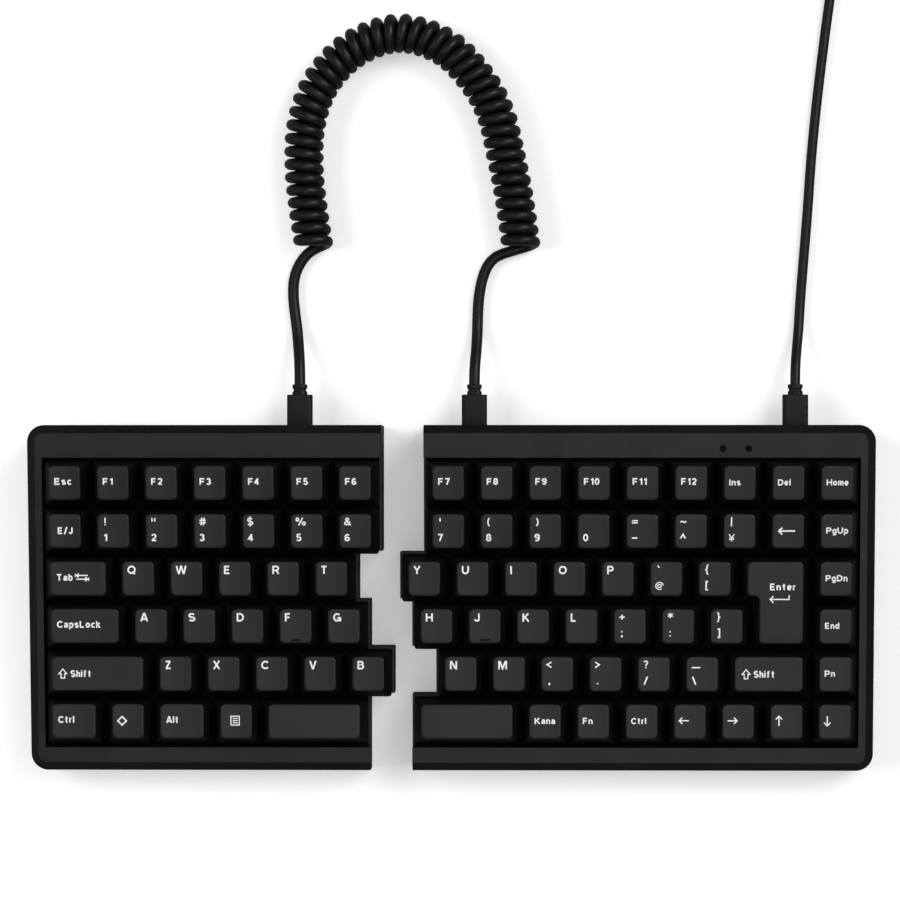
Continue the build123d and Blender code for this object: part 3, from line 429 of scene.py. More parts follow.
def trim_bosses(form):
    """Cut off the corners of the hidden screw bosses that stand out of the chamfered edges."""
    top, corner, room, nearly = bezel_rise - bezel_skin / 2, outer_corner, 2.1, 0.03
    stray = []
    for vert in form.verts:
        x, y, z = vert.co / mm
        rise = (z - plate_height) * math.cos(slope) - (y + case_depth / 2) * math.sin(slope)
        dx, dy = case_width / 2 - abs(x), case_depth / 2 - abs(y)
        inset = corner - math.hypot(corner - dx, corner - dy) if max(dx, dy) < corner else min(dx, dy)
        if abs(rise - top) < nearly and inset < room:
            stray.append(vert)
    bmesh.ops.delete(form, geom=stray, context="VERTS")
    bmesh.ops.holes_fill(form, edges=[e for e in form.edges if e.is_boundary], sides=0)


def softened(node, width, material, name=None, mend=None):
    """A copy of a CAD piece with its triangles merged and its sharp edges rounded."""
    merge_distance, flat_angle, sharp_angle = 0.002 * mm, math.radians(1.0), math.radians(28)
    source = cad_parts[node]
    mesh = source.data.copy()
    mesh.transform(source.matrix_world)
    form = bmesh.new()
    form.from_mesh(mesh)
    bmesh.ops.remove_doubles(form, verts=form.verts, dist=merge_distance)
    if mend:
        mend(form)
    bmesh.ops.dissolve_limit(form, angle_limit=flat_angle, verts=form.verts, edges=form.edges)
    sharp = [e for e in form.edges if e.is_manifold and e.calc_face_angle(0) > sharp_angle]
    bmesh.ops.bevel(
        form, geom=sharp, offset=width * mm, segments=2, profile=0.6, affect="EDGES", clamp_overlap=True,
    )
    form.to_mesh(mesh)
    form.free()
    mesh.materials.clear()
    even_normals(mesh)
    piece = put(name or node + "_finished", mesh, material)
    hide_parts(node)
    return piece


def finish_node(node, material):
    """Give a CAD piece that is shown as it is its material."""
    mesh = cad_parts[node].data
    mesh.materials.clear()
    mesh.materials.append(material)


for side in ("left", "right"):
    for part, width, mend in (("top_case", 0.35, trim_bosses), ("bottom_case", 0.3, None)):
        piece = softened(f"{side}_{part}", width, case_black, mend=mend)
        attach(piece, f"{side}_half")
    for place in ("outer", "inner"):
        piece = softened(f"{side}_tilt_foot_{place}", 0.2, foot_black)
        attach(piece, f"{side}_tilt_foot_{place}_body")
    feet = softened(f"{side}_rubber_feet", 0.35, foot_rubber)
    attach(feet, f"{side}_half")
    finish_node(f"{side}_switch_plate", plate_coat)
    finish_node(f"{side}_circuit_board", green_board)
    finish_node(f"{side}_switch_housings", switch_black)
    finish_node(f"{side}_stabilizers", switch_black)
    finish_node(f"{side}_case_screws", zinc)
for node in ("left_usb_socket", "right_usb_sockets", "bridge_plug_left_shell", "right_plug_shells"):
    finish_node(node, nickel)
finish_node("indicator_lenses", lens_smoke)
plug_bodies = {"bridge_plug_left": "left_half", "bridge_plug_right": "right_half", "host_plug": "right_half"}
for node, body in plug_bodies.items():
    piece = softened(node, 0.3, plug_black)
    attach(piece, body)
usb_body = softened("usb_a_plug", 0.5, plug_black, name="usb_plug_moulding")
usb_shell = softened("usb_a_plug_shell", 0.12, nickel, name="usb_plug_sleeve")
tie = softened("host_cord_tie", 0.2, strap_black, name="cord_tie_strap")
for piece, slot in ((usb_body, "plug_moulding"), (usb_shell, "socket_metal"), (tie, "tie_strap")):
    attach(piece, "right_half")

# Key caps
left_rows = [[1] * 7, [1] * 7, [1.5] + [1] * 5, [1.75] + [1] * 5, [2.25] + [1] * 5, [1.25, 1, 1.25, 1, 2.25]]
right_rows = [
    [1] * 9, [1] * 9, [1] * 7 + [1.5, 1], [1] * 7 + [1.25, 1], [1] * 6 + [1.75, 1], [2.25] + [1] * 7,
]
rows = {"left": left_rows, "right": right_rows}
corner_steps, side_step = 5, 2.2
roof_thickness, inner_lip, foot_round = 1.7, 0.12, 0.2
stem_width, stem_depth, stem_reach = 7.0, 5.4, 1.3
rim_start_share, rim_end_draw, rim_steps = 0.93, 0.75, 4
top_ring_shares = (0.86, 0.7, 0.52, 0.34, 0.17)
space_bar_crown, enter_dish = 0.15, 0.35


def key_x(side, row, column):
    """The middle and the width of a key."""
    shares = rows[side][row]
    edge = side_bar - case_width / 2 if side == "left" else case_width / 2 - side_bar - sum(shares) * pitch
    width = shares[column] * pitch
    return edge + sum(shares[:column]) * pitch + width / 2, width


def row_middle(row):
    return grid_front + (row_count - row - 0.5) * pitch


def on_deck(x, s, n):
    """A place on the deck, in metres: across, up the slope, and square to the plate."""
    return Vector((
        x, s * math.cos(slope) - n * math.sin(slope) - case_depth / 2,
        plate_height + s * math.sin(slope) + n * math.cos(slope),
    )) * mm


class Cap:
    """The outline and the top of one size of cap, about the middle of its rim."""

    def __init__(self, edges, front, rear, dish, middle=(0.0, 1.3)):
        self.edges = edges  # (outward x, outward y, distance), going round
        self.front, self.rear, self.dish, self.middle = front, rear, dish, middle
        xs = [e[2] * e[0] for e in edges if e[0]]
        ys = [e[2] * e[1] for e in edges if e[1]]
        self.low_x, self.high_x = min(xs) + side_slope, max(xs) - side_slope
        self.low_y, self.high_y = min(ys) + front_slope, max(ys) - rear_slope
        corners = [Vector((ax * a + bx * b, ay * a + by * b))
                   for (ax, ay, a), (bx, by, b) in zip(edges, edges[1:] + edges[:1])]
        sides = zip(corners, corners[1:] + corners[:1])
        self.steps = [max(2, round((q - p).length / side_step)) for p, q in sides]
        self.surface = None  # the finished cap, for laying legends on it

    def top(self, x, y):
        """The height of the top at a place."""
        share = (y - self.low_y) / (self.high_y - self.low_y)
        half = (self.high_x - self.low_x) / 2
        across = min(abs(x - (self.low_x + self.high_x) / 2) / half, 1.0)
        return self.front + (self.rear - self.front) * share - self.dish * (1 - across * across)

    def ring(self, inset, draw, radius):
        """The outline drawn in by a share of its slopes and a further distance, with rounded corners."""
        lines, corners = [], []
        for nx, ny, far in self.edges:
            lean = side_slope if nx else (front_slope if ny < 0 else rear_slope)
            lines.append((nx, ny, far - lean * inset - draw))
        for (ax, ay, a), (bx, by, b) in zip(lines, lines[1:] + lines[:1]):
            corner = Vector((ax * a + bx * b, ay * a + by * b))
            along, onward = Vector((-ay, ax)), Vector((-by, bx))
            centre = corner - along * radius + onward * radius
            arc = []
            for k in range(corner_steps + 1):
                turn = math.pi / 2 * k / corner_steps
                arc.append(centre - onward * (radius * math.cos(turn)) + along * (radius * math.sin(turn)))
            corners.append(arc)
        points = []
        for arc, following, steps in zip(corners, corners[1:] + corners[:1], self.steps):
            points += arc
            points += [arc[-1].lerp(following[0], k / steps) for k in range(1, steps)]
        return points

    def height(self, x, y):
        """How high the finished cap stands at a place, by a drop from above."""
        hit = self.surface.ray_cast(Vector((x, y, 20.0)) * mm, Vector((0, 0, -1)))[0]
        return hit.z / mm if hit else self.top(x, y)


def box_edges(width):
    x, y = (width - cap_gap) / 2, (pitch - cap_gap) / 2
    return [(1, 0, x), (0, 1, y), (-1, 0, x), (0, -1, y)]


def cap_form(cap):
    """A hollow cap: sloping sides, a soft rim round the dished top, inner walls and a stem."""
    form = bmesh.new()
    # The top attribute is 1 on the top and 0 on the sides, and the material paints the sides darker as shade.
    top_layer = form.verts.layers.float.new("top")
    rings = []

    def ring(points, heights, share):
        verts = []
        for p, z in zip(points, heights):
            vert = form.verts.new((p.x * mm, p.y * mm, z * mm))
            vert[top_layer] = share
            verts.append(vert)
        rings.append(verts)

    rim = cap.ring(1.0, 0.0, 2.0)
    rim_heights = [cap.top(p.x, p.y) for p in rim]

    def level(points, height):
        ring(points, [height] * len(points), 0.0)

    def side(share, radius):
        ring(cap.ring(share, 0, radius), [z * share for z in rim_heights], 0.0)

    inner_roof = min(cap.front, cap.rear) - roof_thickness
    level(cap.ring(0.8, cap_wall, 1.0), inner_roof)
    level(cap.ring(0.0, cap_wall, 0.6), 0.0)
    level(cap.ring(0.0, inner_lip, 1.1), 0.0)
    level(cap.ring(0.02, 0.0, 1.2), foot_round)
    side(0.45, 1.5)
    side(0.86, 1.85)
    start = cap.ring(rim_start_share, 0.0, 1.95)
    end = cap.ring(1.0, rim_end_draw, 1.75)
    for k in range(rim_steps + 1):
        t = k / rim_steps
        points, heights = [], []
        for s, r, e, z in zip(start, rim, end, rim_heights):
            points.append(s * (1 - t) ** 2 + r * 2 * t * (1 - t) + e * t ** 2)
            rise = z * rim_start_share * (1 - t) ** 2 + z * 2 * t * (1 - t)
            heights.append(rise + cap.top(e.x, e.y) * t ** 2)
        # Across the rim, the painted shade of the sides fades into the top.
        ring(points, heights, min(max((t - 0.2) * 2.2, 0.0), 1.0))
    middle = Vector(cap.middle)
    for share in top_ring_shares:
        points = [middle + (p - middle) * share for p in end]
        ring(points, [cap.top(p.x, p.y) for p in points], 1.0)
    for a, b in zip(rings, rings[1:]):
        for i in range(len(a)):
            j = (i + 1) % len(a)
            form.faces.new((a[i], a[j], b[j], b[i]))
    centre = form.verts.new((middle.x * mm, middle.y * mm, cap.top(*middle) * mm))
    centre[top_layer] = 1.0
    last = rings[-1]
    for i in range(len(last)):
        form.faces.new((last[i], last[(i + 1) % len(last)], centre))
    form.faces.new(rings[0][::-1])
    stem = bmesh.ops.create_cube(form, size=1.0)["verts"]
    bmesh.ops.scale(form, vec=Vector((stem_width, stem_depth, inner_roof + stem_reach)) * mm, verts=stem)
    bmesh.ops.translate(form, vec=Vector((0, 0, (inner_roof - stem_reach) / 2)) * mm, verts=stem)
    mesh = bpy.data.meshes.new("cap")
    form.to_mesh(mesh)
    form.free()
    smooth(mesh, 50)
    cap.surface = BVHTree.FromPolygons([v.co for v in mesh.vertices], [f.vertices for f in mesh.polygons])
    return mesh


def lay_caps_tree():
    """Nodes that set one cap on each point, turned to the deck, as plain mesh."""
    tree = bpy.data.node_groups.new("lay_caps", "GeometryNodeTree")
    sockets = tree.interface
    sockets.new_socket("Places", in_out="INPUT", socket_type="NodeSocketGeometry")
    sockets.new_socket("Cap", in_out="INPUT", socket_type="NodeSocketObject")
    sockets.new_socket("Deck turn", in_out="INPUT", socket_type="NodeSocketFloat")
    sockets.new_socket("Finish", in_out="INPUT", socket_type="NodeSocketMaterial")
    sockets.new_socket("Caps", in_out="OUTPUT", socket_type="NodeSocketGeometry")
    new, link = tree.nodes.new, tree.links.new
    given, made = new("NodeGroupInput"), new("NodeGroupOutput")
    info, turn = new("GeometryNodeObjectInfo"), new("ShaderNodeCombineXYZ")
    lay, real = new("GeometryNodeInstanceOnPoints"), new("GeometryNodeRealizeInstances")
    paint = new("GeometryNodeSetMaterial")
    link(given.outputs["Cap"], info.inputs["Object"])
    link(given.outputs["Deck turn"], turn.inputs[0])
    link(given.outputs["Places"], lay.inputs["Points"])
    link(info.outputs["Geometry"], lay.inputs["Instance"])
    link(turn.outputs[0], lay.inputs["Rotation"])
    link(lay.outputs[0], real.inputs[0])
    link(real.outputs[0], paint.inputs[0])
    link(given.outputs["Finish"], paint.inputs["Material"])
    link(paint.outputs[0], made.inputs[0])
    return tree


cap_tree = lay_caps_tree()
socket_ids = {s.name: s.identifier for s in cap_tree.interface.items_tree if s.in_out == "INPUT"}
cap_stock = {}


def stock_cap(width, row):
    """One cap for each size and row, made once and put in the scene for laying; the stock caps are dropped
    after all the caps are laid.
    """
    key = (width, row)
    if key not in cap_stock:
        is_space = row == 5 and width > 2 * pitch
        dish = -space_bar_crown if is_space else dish_depth
        cap = Cap(box_edges(width), front_heights[row], rear_heights[row], dish)
        cap_stock[key] = (cap, put(f"cap_{len(cap_stock)}", cap_form(cap)))
    return cap_stock[key]


def laid_caps(groups):
    """A mesh of caps: groups is {stock object: [places in metres]}."""
    meshes = []
    for stock, places in groups.items():
        points = bpy.data.meshes.new("places")
        points.from_pydata(places, [], [])
        holder = put("places", points)
        modifier = holder.modifiers.new("lay", "NODES")
        modifier.node_group = cap_tree
        modifier[socket_ids["Cap"]] = stock
        modifier[socket_ids["Deck turn"]] = slope
        modifier[socket_ids["Finish"]] = cap_finish
        meshes.append(as_mesh(holder))
        holder.modifiers.remove(modifier)
        drop(holder)
    return meshes


# Legends
stroke_step, least_mitre, bow_step = 0.8, 0.4, 24


def stroke(points, width, closed=False):
    """A flat line of that width through points, mitred, in short runs that can follow a dished top."""
    corners = [Vector(p) for p in points]
    ends = corners[1:] + corners[:1] if closed else corners[1:]
    path = []
    for p, q in zip(corners, ends):
        steps = max(1, math.ceil((q - p).length / stroke_step))
        path += [p.lerp(q, k / steps) for k in range(steps)]
    if not closed:
        path.append(corners[-1])
    count = len(path)
    sides, faces = [], []
    for i, p in enumerate(path):
        before = path[i - 1] if closed or i else p
        after = path[(i + 1) % count] if closed or i < count - 1 else p
        one = (p - before).normalized() if p != before else (after - p).normalized()
        two = (after - p).normalized() if after != p else one
        across = Vector((-one.y - two.y, one.x + two.x)).normalized()
        reach = width / 2 / max(across.dot(Vector((-one.y, one.x))), least_mitre)
        sides += [tuple(p + across * reach), tuple(p - across * reach)]
    for i in range(count if closed else count - 1):
        j = (i + 1) % count
        faces.append((2 * i, 2 * i + 1, 2 * j + 1, 2 * j))
    return sides, faces


def bow(x, y, across, up, start, end):
    """Points along part of an ellipse, from one angle to another."""
    steps = max(3, round(abs(end - start) / bow_step))
    turns_at = [math.radians(start + (end - start) * k / steps) for k in range(steps + 1)]
    return [(x + across * math.cos(t), y + up * math.sin(t)) for t in turns_at]


def mirrored(strokes, width):
    return [[(width - x, y) for x, y in line] for line in strokes]


# A plain alphabet of pen strokes: capitals reach from 0 to 1, and small letters to 0.74
stem, tall_stem = [(0.08, 0), (0.08, 0.74)], [(0.08, 0), (0.08, 1)]
capital_bowl = bow(0.47, 0.5, 0.39, 0.42, 0, 360)
small_bowl = bow(0.31, 0.37, 0.23, 0.3, 0, 360)
arch = bow(0.29, 0.42, 0.21, 0.24, 180, 0) + [(0.5, 0)]
half_bowl = [(0.08, 0.92), (0.45, 0.92)] + bow(0.45, 0.68, 0.24, 0.24, 80, -80) + [(0.08, 0.44)]
double_curve = bow(0.37, 0.71, 0.27, 0.21, 25, 260) + bow(0.39, 0.29, 0.29, 0.21, 80, -155)
brace = [
    (0.38, 1.05), (0.26, 1.02), (0.2, 0.92), (0.2, 0.58), (0.06, 0.45), (0.2, 0.32), (0.2, 0), (0.26, -0.1),
    (0.38, -0.14),
]
bracket = [(0.34, 1.02), (0.1, 1.02), (0.1, -0.12), (0.34, -0.12)]
wedge = [(0.58, 0.82), (0.08, 0.46), (0.58, 0.1)]
low_dot, high_dot, tick = [(0.08, 0), (0.08, 0.17)], [(0.08, 0.56), (0.08, 0.73)], [(0.1, 0.96), (0.1, 0.5)]
comma = [(0.1, 0.17), (0.1, 0.02), (0.02, -0.14)]
glyphs = {
    "A": [[(0.08, 0), (0.4, 0.93), (0.52, 0.93), (0.84, 0)], [(0.2, 0.28), (0.72, 0.28)]],
    "B": [tall_stem, [(0.08, 0.92), (0.42, 0.92)] + bow(0.42, 0.72, 0.22, 0.2, 80, -80) + [(0.08, 0.52)],
          [(0.08, 0.52), (0.45, 0.52)] + bow(0.45, 0.3, 0.25, 0.22, 80, -80) + [(0.08, 0.08)]],
    "C": [bow(0.47, 0.5, 0.39, 0.42, 42, 318)],
    "D": [tall_stem, [(0.08, 0.92), (0.36, 0.92)] + bow(0.36, 0.5, 0.4, 0.42, 80, -80) + [(0.08, 0.08)]],
    "E": [[(0.62, 0.92), (0.08, 0.92), (0.08, 0.08), (0.64, 0.08)], [(0.08, 0.51), (0.58, 0.51)]],
    "F": [[(0.62, 0.92), (0.08, 0.92), (0.08, 0)], [(0.08, 0.49), (0.56, 0.49)]],
    "G": [bow(0.47, 0.5, 0.39, 0.42, 45, 335), [(0.5, 0.43), (0.85, 0.43), (0.85, 0)]],
    "H": [tall_stem, [(0.76, 0), (0.76, 1)], [(0.08, 0.51), (0.76, 0.51)]],
    "I": [tall_stem],
    "J": [[(0.5, 1), (0.5, 0.3)] + bow(0.29, 0.3, 0.21, 0.22, 0, -180)],
    "K": [tall_stem, [(0.72, 1), (0.1, 0.36)], [(0.3, 0.56), (0.76, 0)]],
    "L": [[(0.08, 1), (0.08, 0.08), (0.6, 0.08)]],
    "M": [[(0.08, 0), (0.08, 0.92), (0.19, 0.92), (0.48, 0.1), (0.77, 0.92), (0.88, 0.92), (0.88, 0)]],
    "N": [[(0.08, 0), (0.08, 0.92), (0.18, 0.92), (0.66, 0.08), (0.76, 0.08), (0.76, 1)]],
    "O": [capital_bowl],
    "P": [tall_stem, half_bowl],
    "Q": [capital_bowl, [(0.55, 0.28), (0.86, -0.02)]],
    "R": [tall_stem, half_bowl, [(0.44, 0.44), (0.72, 0)]],
    "S": [double_curve],
    "T": [[(0, 0.92), (0.68, 0.92)], [(0.34, 0.92), (0.34, 0)]],
    "U": [[(0.08, 1), (0.08, 0.36)] + bow(0.41, 0.36, 0.33, 0.28, 180, 360) + [(0.74, 1)]],
    "V": [[(0.06, 1), (0.38, 0.07), (0.46, 0.07), (0.78, 1)]],
    "W": [[(0.06, 1), (0.3, 0.07), (0.38, 0.07), (0.6, 0.92), (0.68, 0.92), (0.9, 0.07), (0.98, 0.07),
           (1.22, 1)]],
    "X": [[(0.06, 1), (0.78, 0)], [(0.06, 0), (0.78, 1)]],
    "Y": [[(0.06, 1), (0.4, 0.44), (0.74, 1)], [(0.4, 0.46), (0.4, 0)]],
    "Z": [[(0.04, 0.92), (0.66, 0.92)], [(0.58, 0.9), (0.12, 0.1)], [(0.04, 0.08), (0.68, 0.08)]],
    "a": [bow(0.28, 0.49, 0.2, 0.17, 155, 10) + [(0.48, 0)],
          [(0.48, 0.42), (0.25, 0.38)] + bow(0.25, 0.23, 0.17, 0.15, 110, 270) + [(0.46, 0.2)]],
    "b": [tall_stem, small_bowl],
    "c": [bow(0.31, 0.37, 0.23, 0.3, 45, 315)],
    "d": mirrored([tall_stem, small_bowl], 0.62),
    "e": [bow(0.31, 0.37, 0.23, 0.3, 0, 318), [(0.08, 0.35), (0.54, 0.35)]],
    "f": [[(0.18, 0), (0.18, 0.78)] + bow(0.32, 0.78, 0.14, 0.14, 180, 90) + [(0.4, 0.92)],
          [(0.02, 0.67), (0.38, 0.67)]],
    "g": [small_bowl, [(0.54, 0.74), (0.54, -0.02)] + bow(0.31, -0.02, 0.23, 0.18, 0, -150)],
    "h": [tall_stem, arch],
    "i": [stem, [(0.08, 0.85), (0.08, 1)]],
    "k": [tall_stem, [(0.5, 0.74), (0.1, 0.3)], [(0.22, 0.42), (0.54, 0)]],
    "l": [tall_stem],
    "m": [stem, bow(0.25, 0.46, 0.17, 0.2, 180, 0) + [(0.42, 0)],
          bow(0.59, 0.46, 0.17, 0.2, 180, 0) + [(0.76, 0)]],
    "n": [stem, arch],
    "o": [small_bowl],
    "p": [[(0.08, -0.26), (0.08, 0.74)], small_bowl],
    "r": [stem, bow(0.28, 0.42, 0.2, 0.24, 180, 75)],
    "s": [bow(0.26, 0.53, 0.18, 0.14, 25, 260) + bow(0.27, 0.22, 0.2, 0.15, 80, -155)],
    "t": [[(0.2, 0.96), (0.2, 0.22)] + bow(0.33, 0.22, 0.13, 0.14, 180, 280), [(0.02, 0.67), (0.4, 0.67)]],
    "0": [bow(0.31, 0.5, 0.23, 0.42, 0, 360)],
    "1": [[(0.3, 0), (0.3, 1)], [(0.04, 0.74), (0.2, 0.79), (0.28, 0.9)]],
    "2": [bow(0.31, 0.68, 0.24, 0.24, 165, -35) + [(0.12, 0.14)], [(0.04, 0.08), (0.58, 0.08)]],
    "3": [bow(0.29, 0.71, 0.21, 0.21, 155, -85), bow(0.3, 0.29, 0.24, 0.22, 95, -155)],
    "4": [[(0.44, 0), (0.44, 0.98)], [(0.42, 0.92), (0.09, 0.3), (0.62, 0.3)]],
    "5": [[(0.54, 0.92), (0.16, 0.92), (0.11, 0.5)], bow(0.3, 0.31, 0.25, 0.24, 135, -155)],
    "6": [bow(0.31, 0.3, 0.24, 0.22, 0, 360), bow(0.33, 0.5, 0.26, 0.42, 200, 45)],
    "7": [[(0.04, 0.92), (0.54, 0.92), (0.24, 0)]],
    "8": [bow(0.31, 0.71, 0.2, 0.21, 0, 360), bow(0.31, 0.29, 0.24, 0.21, 0, 360)],
    "9": [bow(0.31, 0.7, 0.24, 0.22, 0, 360), bow(0.29, 0.5, 0.26, 0.42, 20, -135)],
    "!": [[(0.08, 1), (0.08, 0.3)], low_dot],
    '"': [tick, [(0.44, 0.96), (0.44, 0.5)]],
    "#": [[(0.2, 0), (0.32, 1)], [(0.48, 0), (0.6, 1)], [(0.02, 0.66), (0.78, 0.66)],
          [(0.02, 0.33), (0.78, 0.33)]],
    "$": [double_curve, [(0.38, -0.16), (0.38, 1.16)]],
    "%": [bow(0.22, 0.76, 0.15, 0.2, 0, 360), bow(0.98, 0.24, 0.15, 0.2, 0, 360), [(0.36, 0), (0.84, 1)]],
    "&": [[(0.8, 0), (0.24, 0.66)] + bow(0.38, 0.78, 0.16, 0.15, 200, -40) + [(0.2, 0.42)]
          + bow(0.3, 0.27, 0.22, 0.19, 130, 300) + [(0.5, 0.14), (0.74, 0.5)]],
    "'": [tick],
    "(": [bow(0.5, 0.45, 0.4, 0.62, 122, 238)],
    ")": mirrored([bow(0.5, 0.45, 0.4, 0.62, 122, 238)], 0.4),
    "=": [[(0.04, 0.62), (0.74, 0.62)], [(0.04, 0.34), (0.74, 0.34)]],
    "~": [[(0.04, 0.42), (0.16, 0.54), (0.28, 0.54), (0.46, 0.42), (0.58, 0.42), (0.7, 0.56)]],
    "|": [[(0.08, -0.1), (0.08, 1.08)]],
    "\u00a5": [[(0.06, 1), (0.38, 0.5), (0.7, 1)], [(0.38, 0.5), (0.38, 0)], [(0.1, 0.46), (0.66, 0.46)],
               [(0.1, 0.24), (0.66, 0.24)]],
    "^": [[(0.06, 0.4), (0.36, 0.96), (0.66, 0.4)]],
    "-": [[(0.04, 0.45), (0.72, 0.45)]],
    "`": [[(0.04, 1), (0.24, 0.72)]],
    "@": [bow(0.52, 0.42, 0.44, 0.5, -55, -350), bow(0.5, 0.42, 0.19, 0.22, 0, 360),
          [(0.7, 0.64), (0.72, 0.22)]],
    "{": [brace],
    "}": mirrored([brace], 0.44),
    "[": [bracket],
    "]": mirrored([bracket], 0.44),
    "+": [[(0.04, 0.45), (0.68, 0.45)], [(0.36, 0.13), (0.36, 0.77)]],
    ";": [high_dot, comma],
    ":": [high_dot, low_dot],
    "*": [[(0.3, 0.36), (0.3, 1.02)], [(0.02, 0.52), (0.58, 0.86)], [(0.02, 0.86), (0.58, 0.52)]],
    "<": [wedge],
    ">": mirrored([wedge], 0.66),
    ",": [comma],
    ".": [low_dot],
    "?": [bow(0.29, 0.74, 0.21, 0.2, 165, -35) + [(0.3, 0.44), (0.3, 0.3)], [(0.3, 0), (0.3, 0.17)]],
    "/": [[(0.04, -0.06), (0.44, 1.06)]],
    "_": [[(-0.02, 0.1), (1, 0.1)]],
    "\\": [[(0.04, 1.06), (0.44, -0.06)]],
}


def lettering(text, height, width=None, pen=0.22, gap=0.13, wide=1.0):
    """The strokes of a word: its capitals are this tall, and its ink starts at 0 on the base line."""
    lines, start = [], 0.0
    for letter in text:
        strokes = glyphs[letter]
        xs = [x for line in strokes for x, _ in line]
        lines += [[(x - min(xs) + start, y) for x, y in line] for line in strokes]
        start += max(xs) - min(xs) + pen + gap
    full = max(x for line in lines for x, _ in line)
    pen *= height
    scale = (width - pen) / full if width and full else height * wide
    return [stroke([(x * scale + pen / 2, y * height) for x, y in line], pen) for line in lines]


def arrow(x, y, length, way, head=1.25, width=0.5, riser=0.0):
    """An arrow with an open head, its tip at x, y; a riser is a turned-up far end."""
    dx, dy = {"left": (-1, 0), "right": (1, 0), "up": (0, 1), "down": (0, -1)}[way]
    far = (x - dx * length, y - dy * length)
    shaft = [(x - dx * width * 0.6, y - dy * width * 0.6), far]
    if riser:
        shaft.append((far[0], far[1] + riser))
    wings = [(x - dx * head - dy * head, y - dy * head + dx * head), (x, y),
             (x - dx * head + dy * head, y - dy * head - dx * head)]
    return [stroke(shaft, width), stroke(wings, width)]


def placed(shapes, x, y):
    return [([(px + x, py + y) for px, py in points], faces) for points, faces in shapes]


# Legends' sizes and places in millimetres, from the left edge, the rear edge or the middle of a cap's top
letter_height, pair_height, upper_height, word_height, small_height = 3.25, 2.85, 3.05, 2.6, 2.4
letter_across, letter_down = 1.95, 1.7
pair_margin, pair_middle, upper_mark_down, lower_mark_down = 1.8, 3.0, 3.1, 9.4
crowded_marks = ("@", "\u00a5")  # drawn with a finer pen
word_kinds = {  # height, pen, across from the left edge, up from the middle
    "word": (word_height, 0.22, 2.25, 0.65), "inset": (word_height, 0.22, 3.3, 0.15),
    "small": (small_height, 0.21, 2.0, 0.3),
}
arrow_length = 3.8
arrow_tips = {"left": (1.95, 0.45), "right": (5.75, 0.45), "up": (3.2, 2.3), "down": (3.2, -1.5)}
letter_widths = dict(zip(
    "ABCDEFGHIJKLMNOPQRSTUVWXYZ",
    (3.05, 2.6, 3.0, 2.85, 2.4, 2.3, 3.15, 2.8, 0.65, 2.25, 2.8, 2.25, 3.45, 2.8, 3.2, 2.55, 3.25, 2.8, 2.75,
     2.6, 2.8, 2.85, 4.3, 2.8, 2.8, 2.6),
))


def pair_start(shapes):
    """How far in a mark starts: narrow ones share a middle line, and wide ones a left edge."""
    widest = max(x for points, _ in shapes for x, _ in points)
    return max(pair_margin, pair_middle - widest / 2)


def letter_legend(left, top, letter):
    capital = lettering(letter, letter_height, letter_widths[letter], 0.2)
    return placed(capital, left + letter_across, top - letter_down - letter_height)


def pair_legend(left, top, text):
    """Two marks, one over the other; a full stop over a mark stands for none."""
    upper, lower = text.split(" ")
    pen, wide = (0.14, 1.2) if lower in crowded_marks else (0.21, 1.12)
    marks = lettering(lower, pair_height, pen=pen, wide=wide)
    shapes = placed(marks, left + pair_start(marks), top - lower_mark_down - pair_height / 2)
    if upper != ".":
        marks = lettering(upper, upper_height, pen=0.17, wide=1.08)
        shapes += placed(marks, left + pair_start(marks), top - upper_mark_down - pair_height / 2)
    return shapes


def tab_legend(left, middle, text, width):
    """The word, and two arrows that run against stops."""
    x, y, span, shaft, head = left + 9.9, middle + 0.5, 5.2, 4.4, 0.8
    upper = arrow(x + 0.5, y + 0.75, shaft, "left", head)
    lower = arrow(x + span - 0.5, y - 0.75, shaft, "right", head)
    stops = (((x, y + 0.1), (x, y + 1.4)), ((x + span, y - 1.4), (x + span, y - 0.1)))
    word = placed(lettering(text, word_height, width), left + 2.36, y - word_height / 2)
    return word + upper + lower + [stroke(stop, 0.45) for stop in stops]


def shift_legend(left, middle, text, width):
    """A hollow arrow that points up, and the word."""
    x, half, neck, low, top = left + 4.4, 1.55, 0.72, 1.75, 1.85
    sign = stroke(
        [(x, middle + top), (x + half, middle), (x + neck, middle), (x + neck, middle - low),
         (x - neck, middle - low), (x - neck, middle), (x - half, middle)], 0.42, closed=True,
    )
    return [sign] + placed(lettering(text, word_height, width), left + 7.4, middle - word_height / 2)


def enter_legend(left, top, text, width):
    """The word over a turned arrow."""
    word = placed(lettering(text, word_height, width), left + 8.8, top - 10.0 - word_height / 2)
    return word + arrow(left + 8.9, top - 15.0, 7.4, "left", 1.35, riser=1.7)


def diamond_sign(x, y, half=1.7):
    return [stroke([(x - half, y), (x, y - half), (x + half, y), (x, y + half)], 0.55, closed=True)]


def list_sign(x, y):
    """Three lines in a box."""
    half_width, half_height, line_half, line_gap = 1.65, 1.75, 0.95, 0.85
    x0, x1, y0, y1 = x - half_width, x + half_width, y - half_height, y + half_height
    frame_line = stroke([(x0, y0), (x1, y0), (x1, y1), (x0, y1)], 0.42, closed=True)
    heights = (y - line_gap, y, y + line_gap)
    return [frame_line] + [stroke([(x - line_half, h), (x + line_half, h)], 0.4) for h in heights]


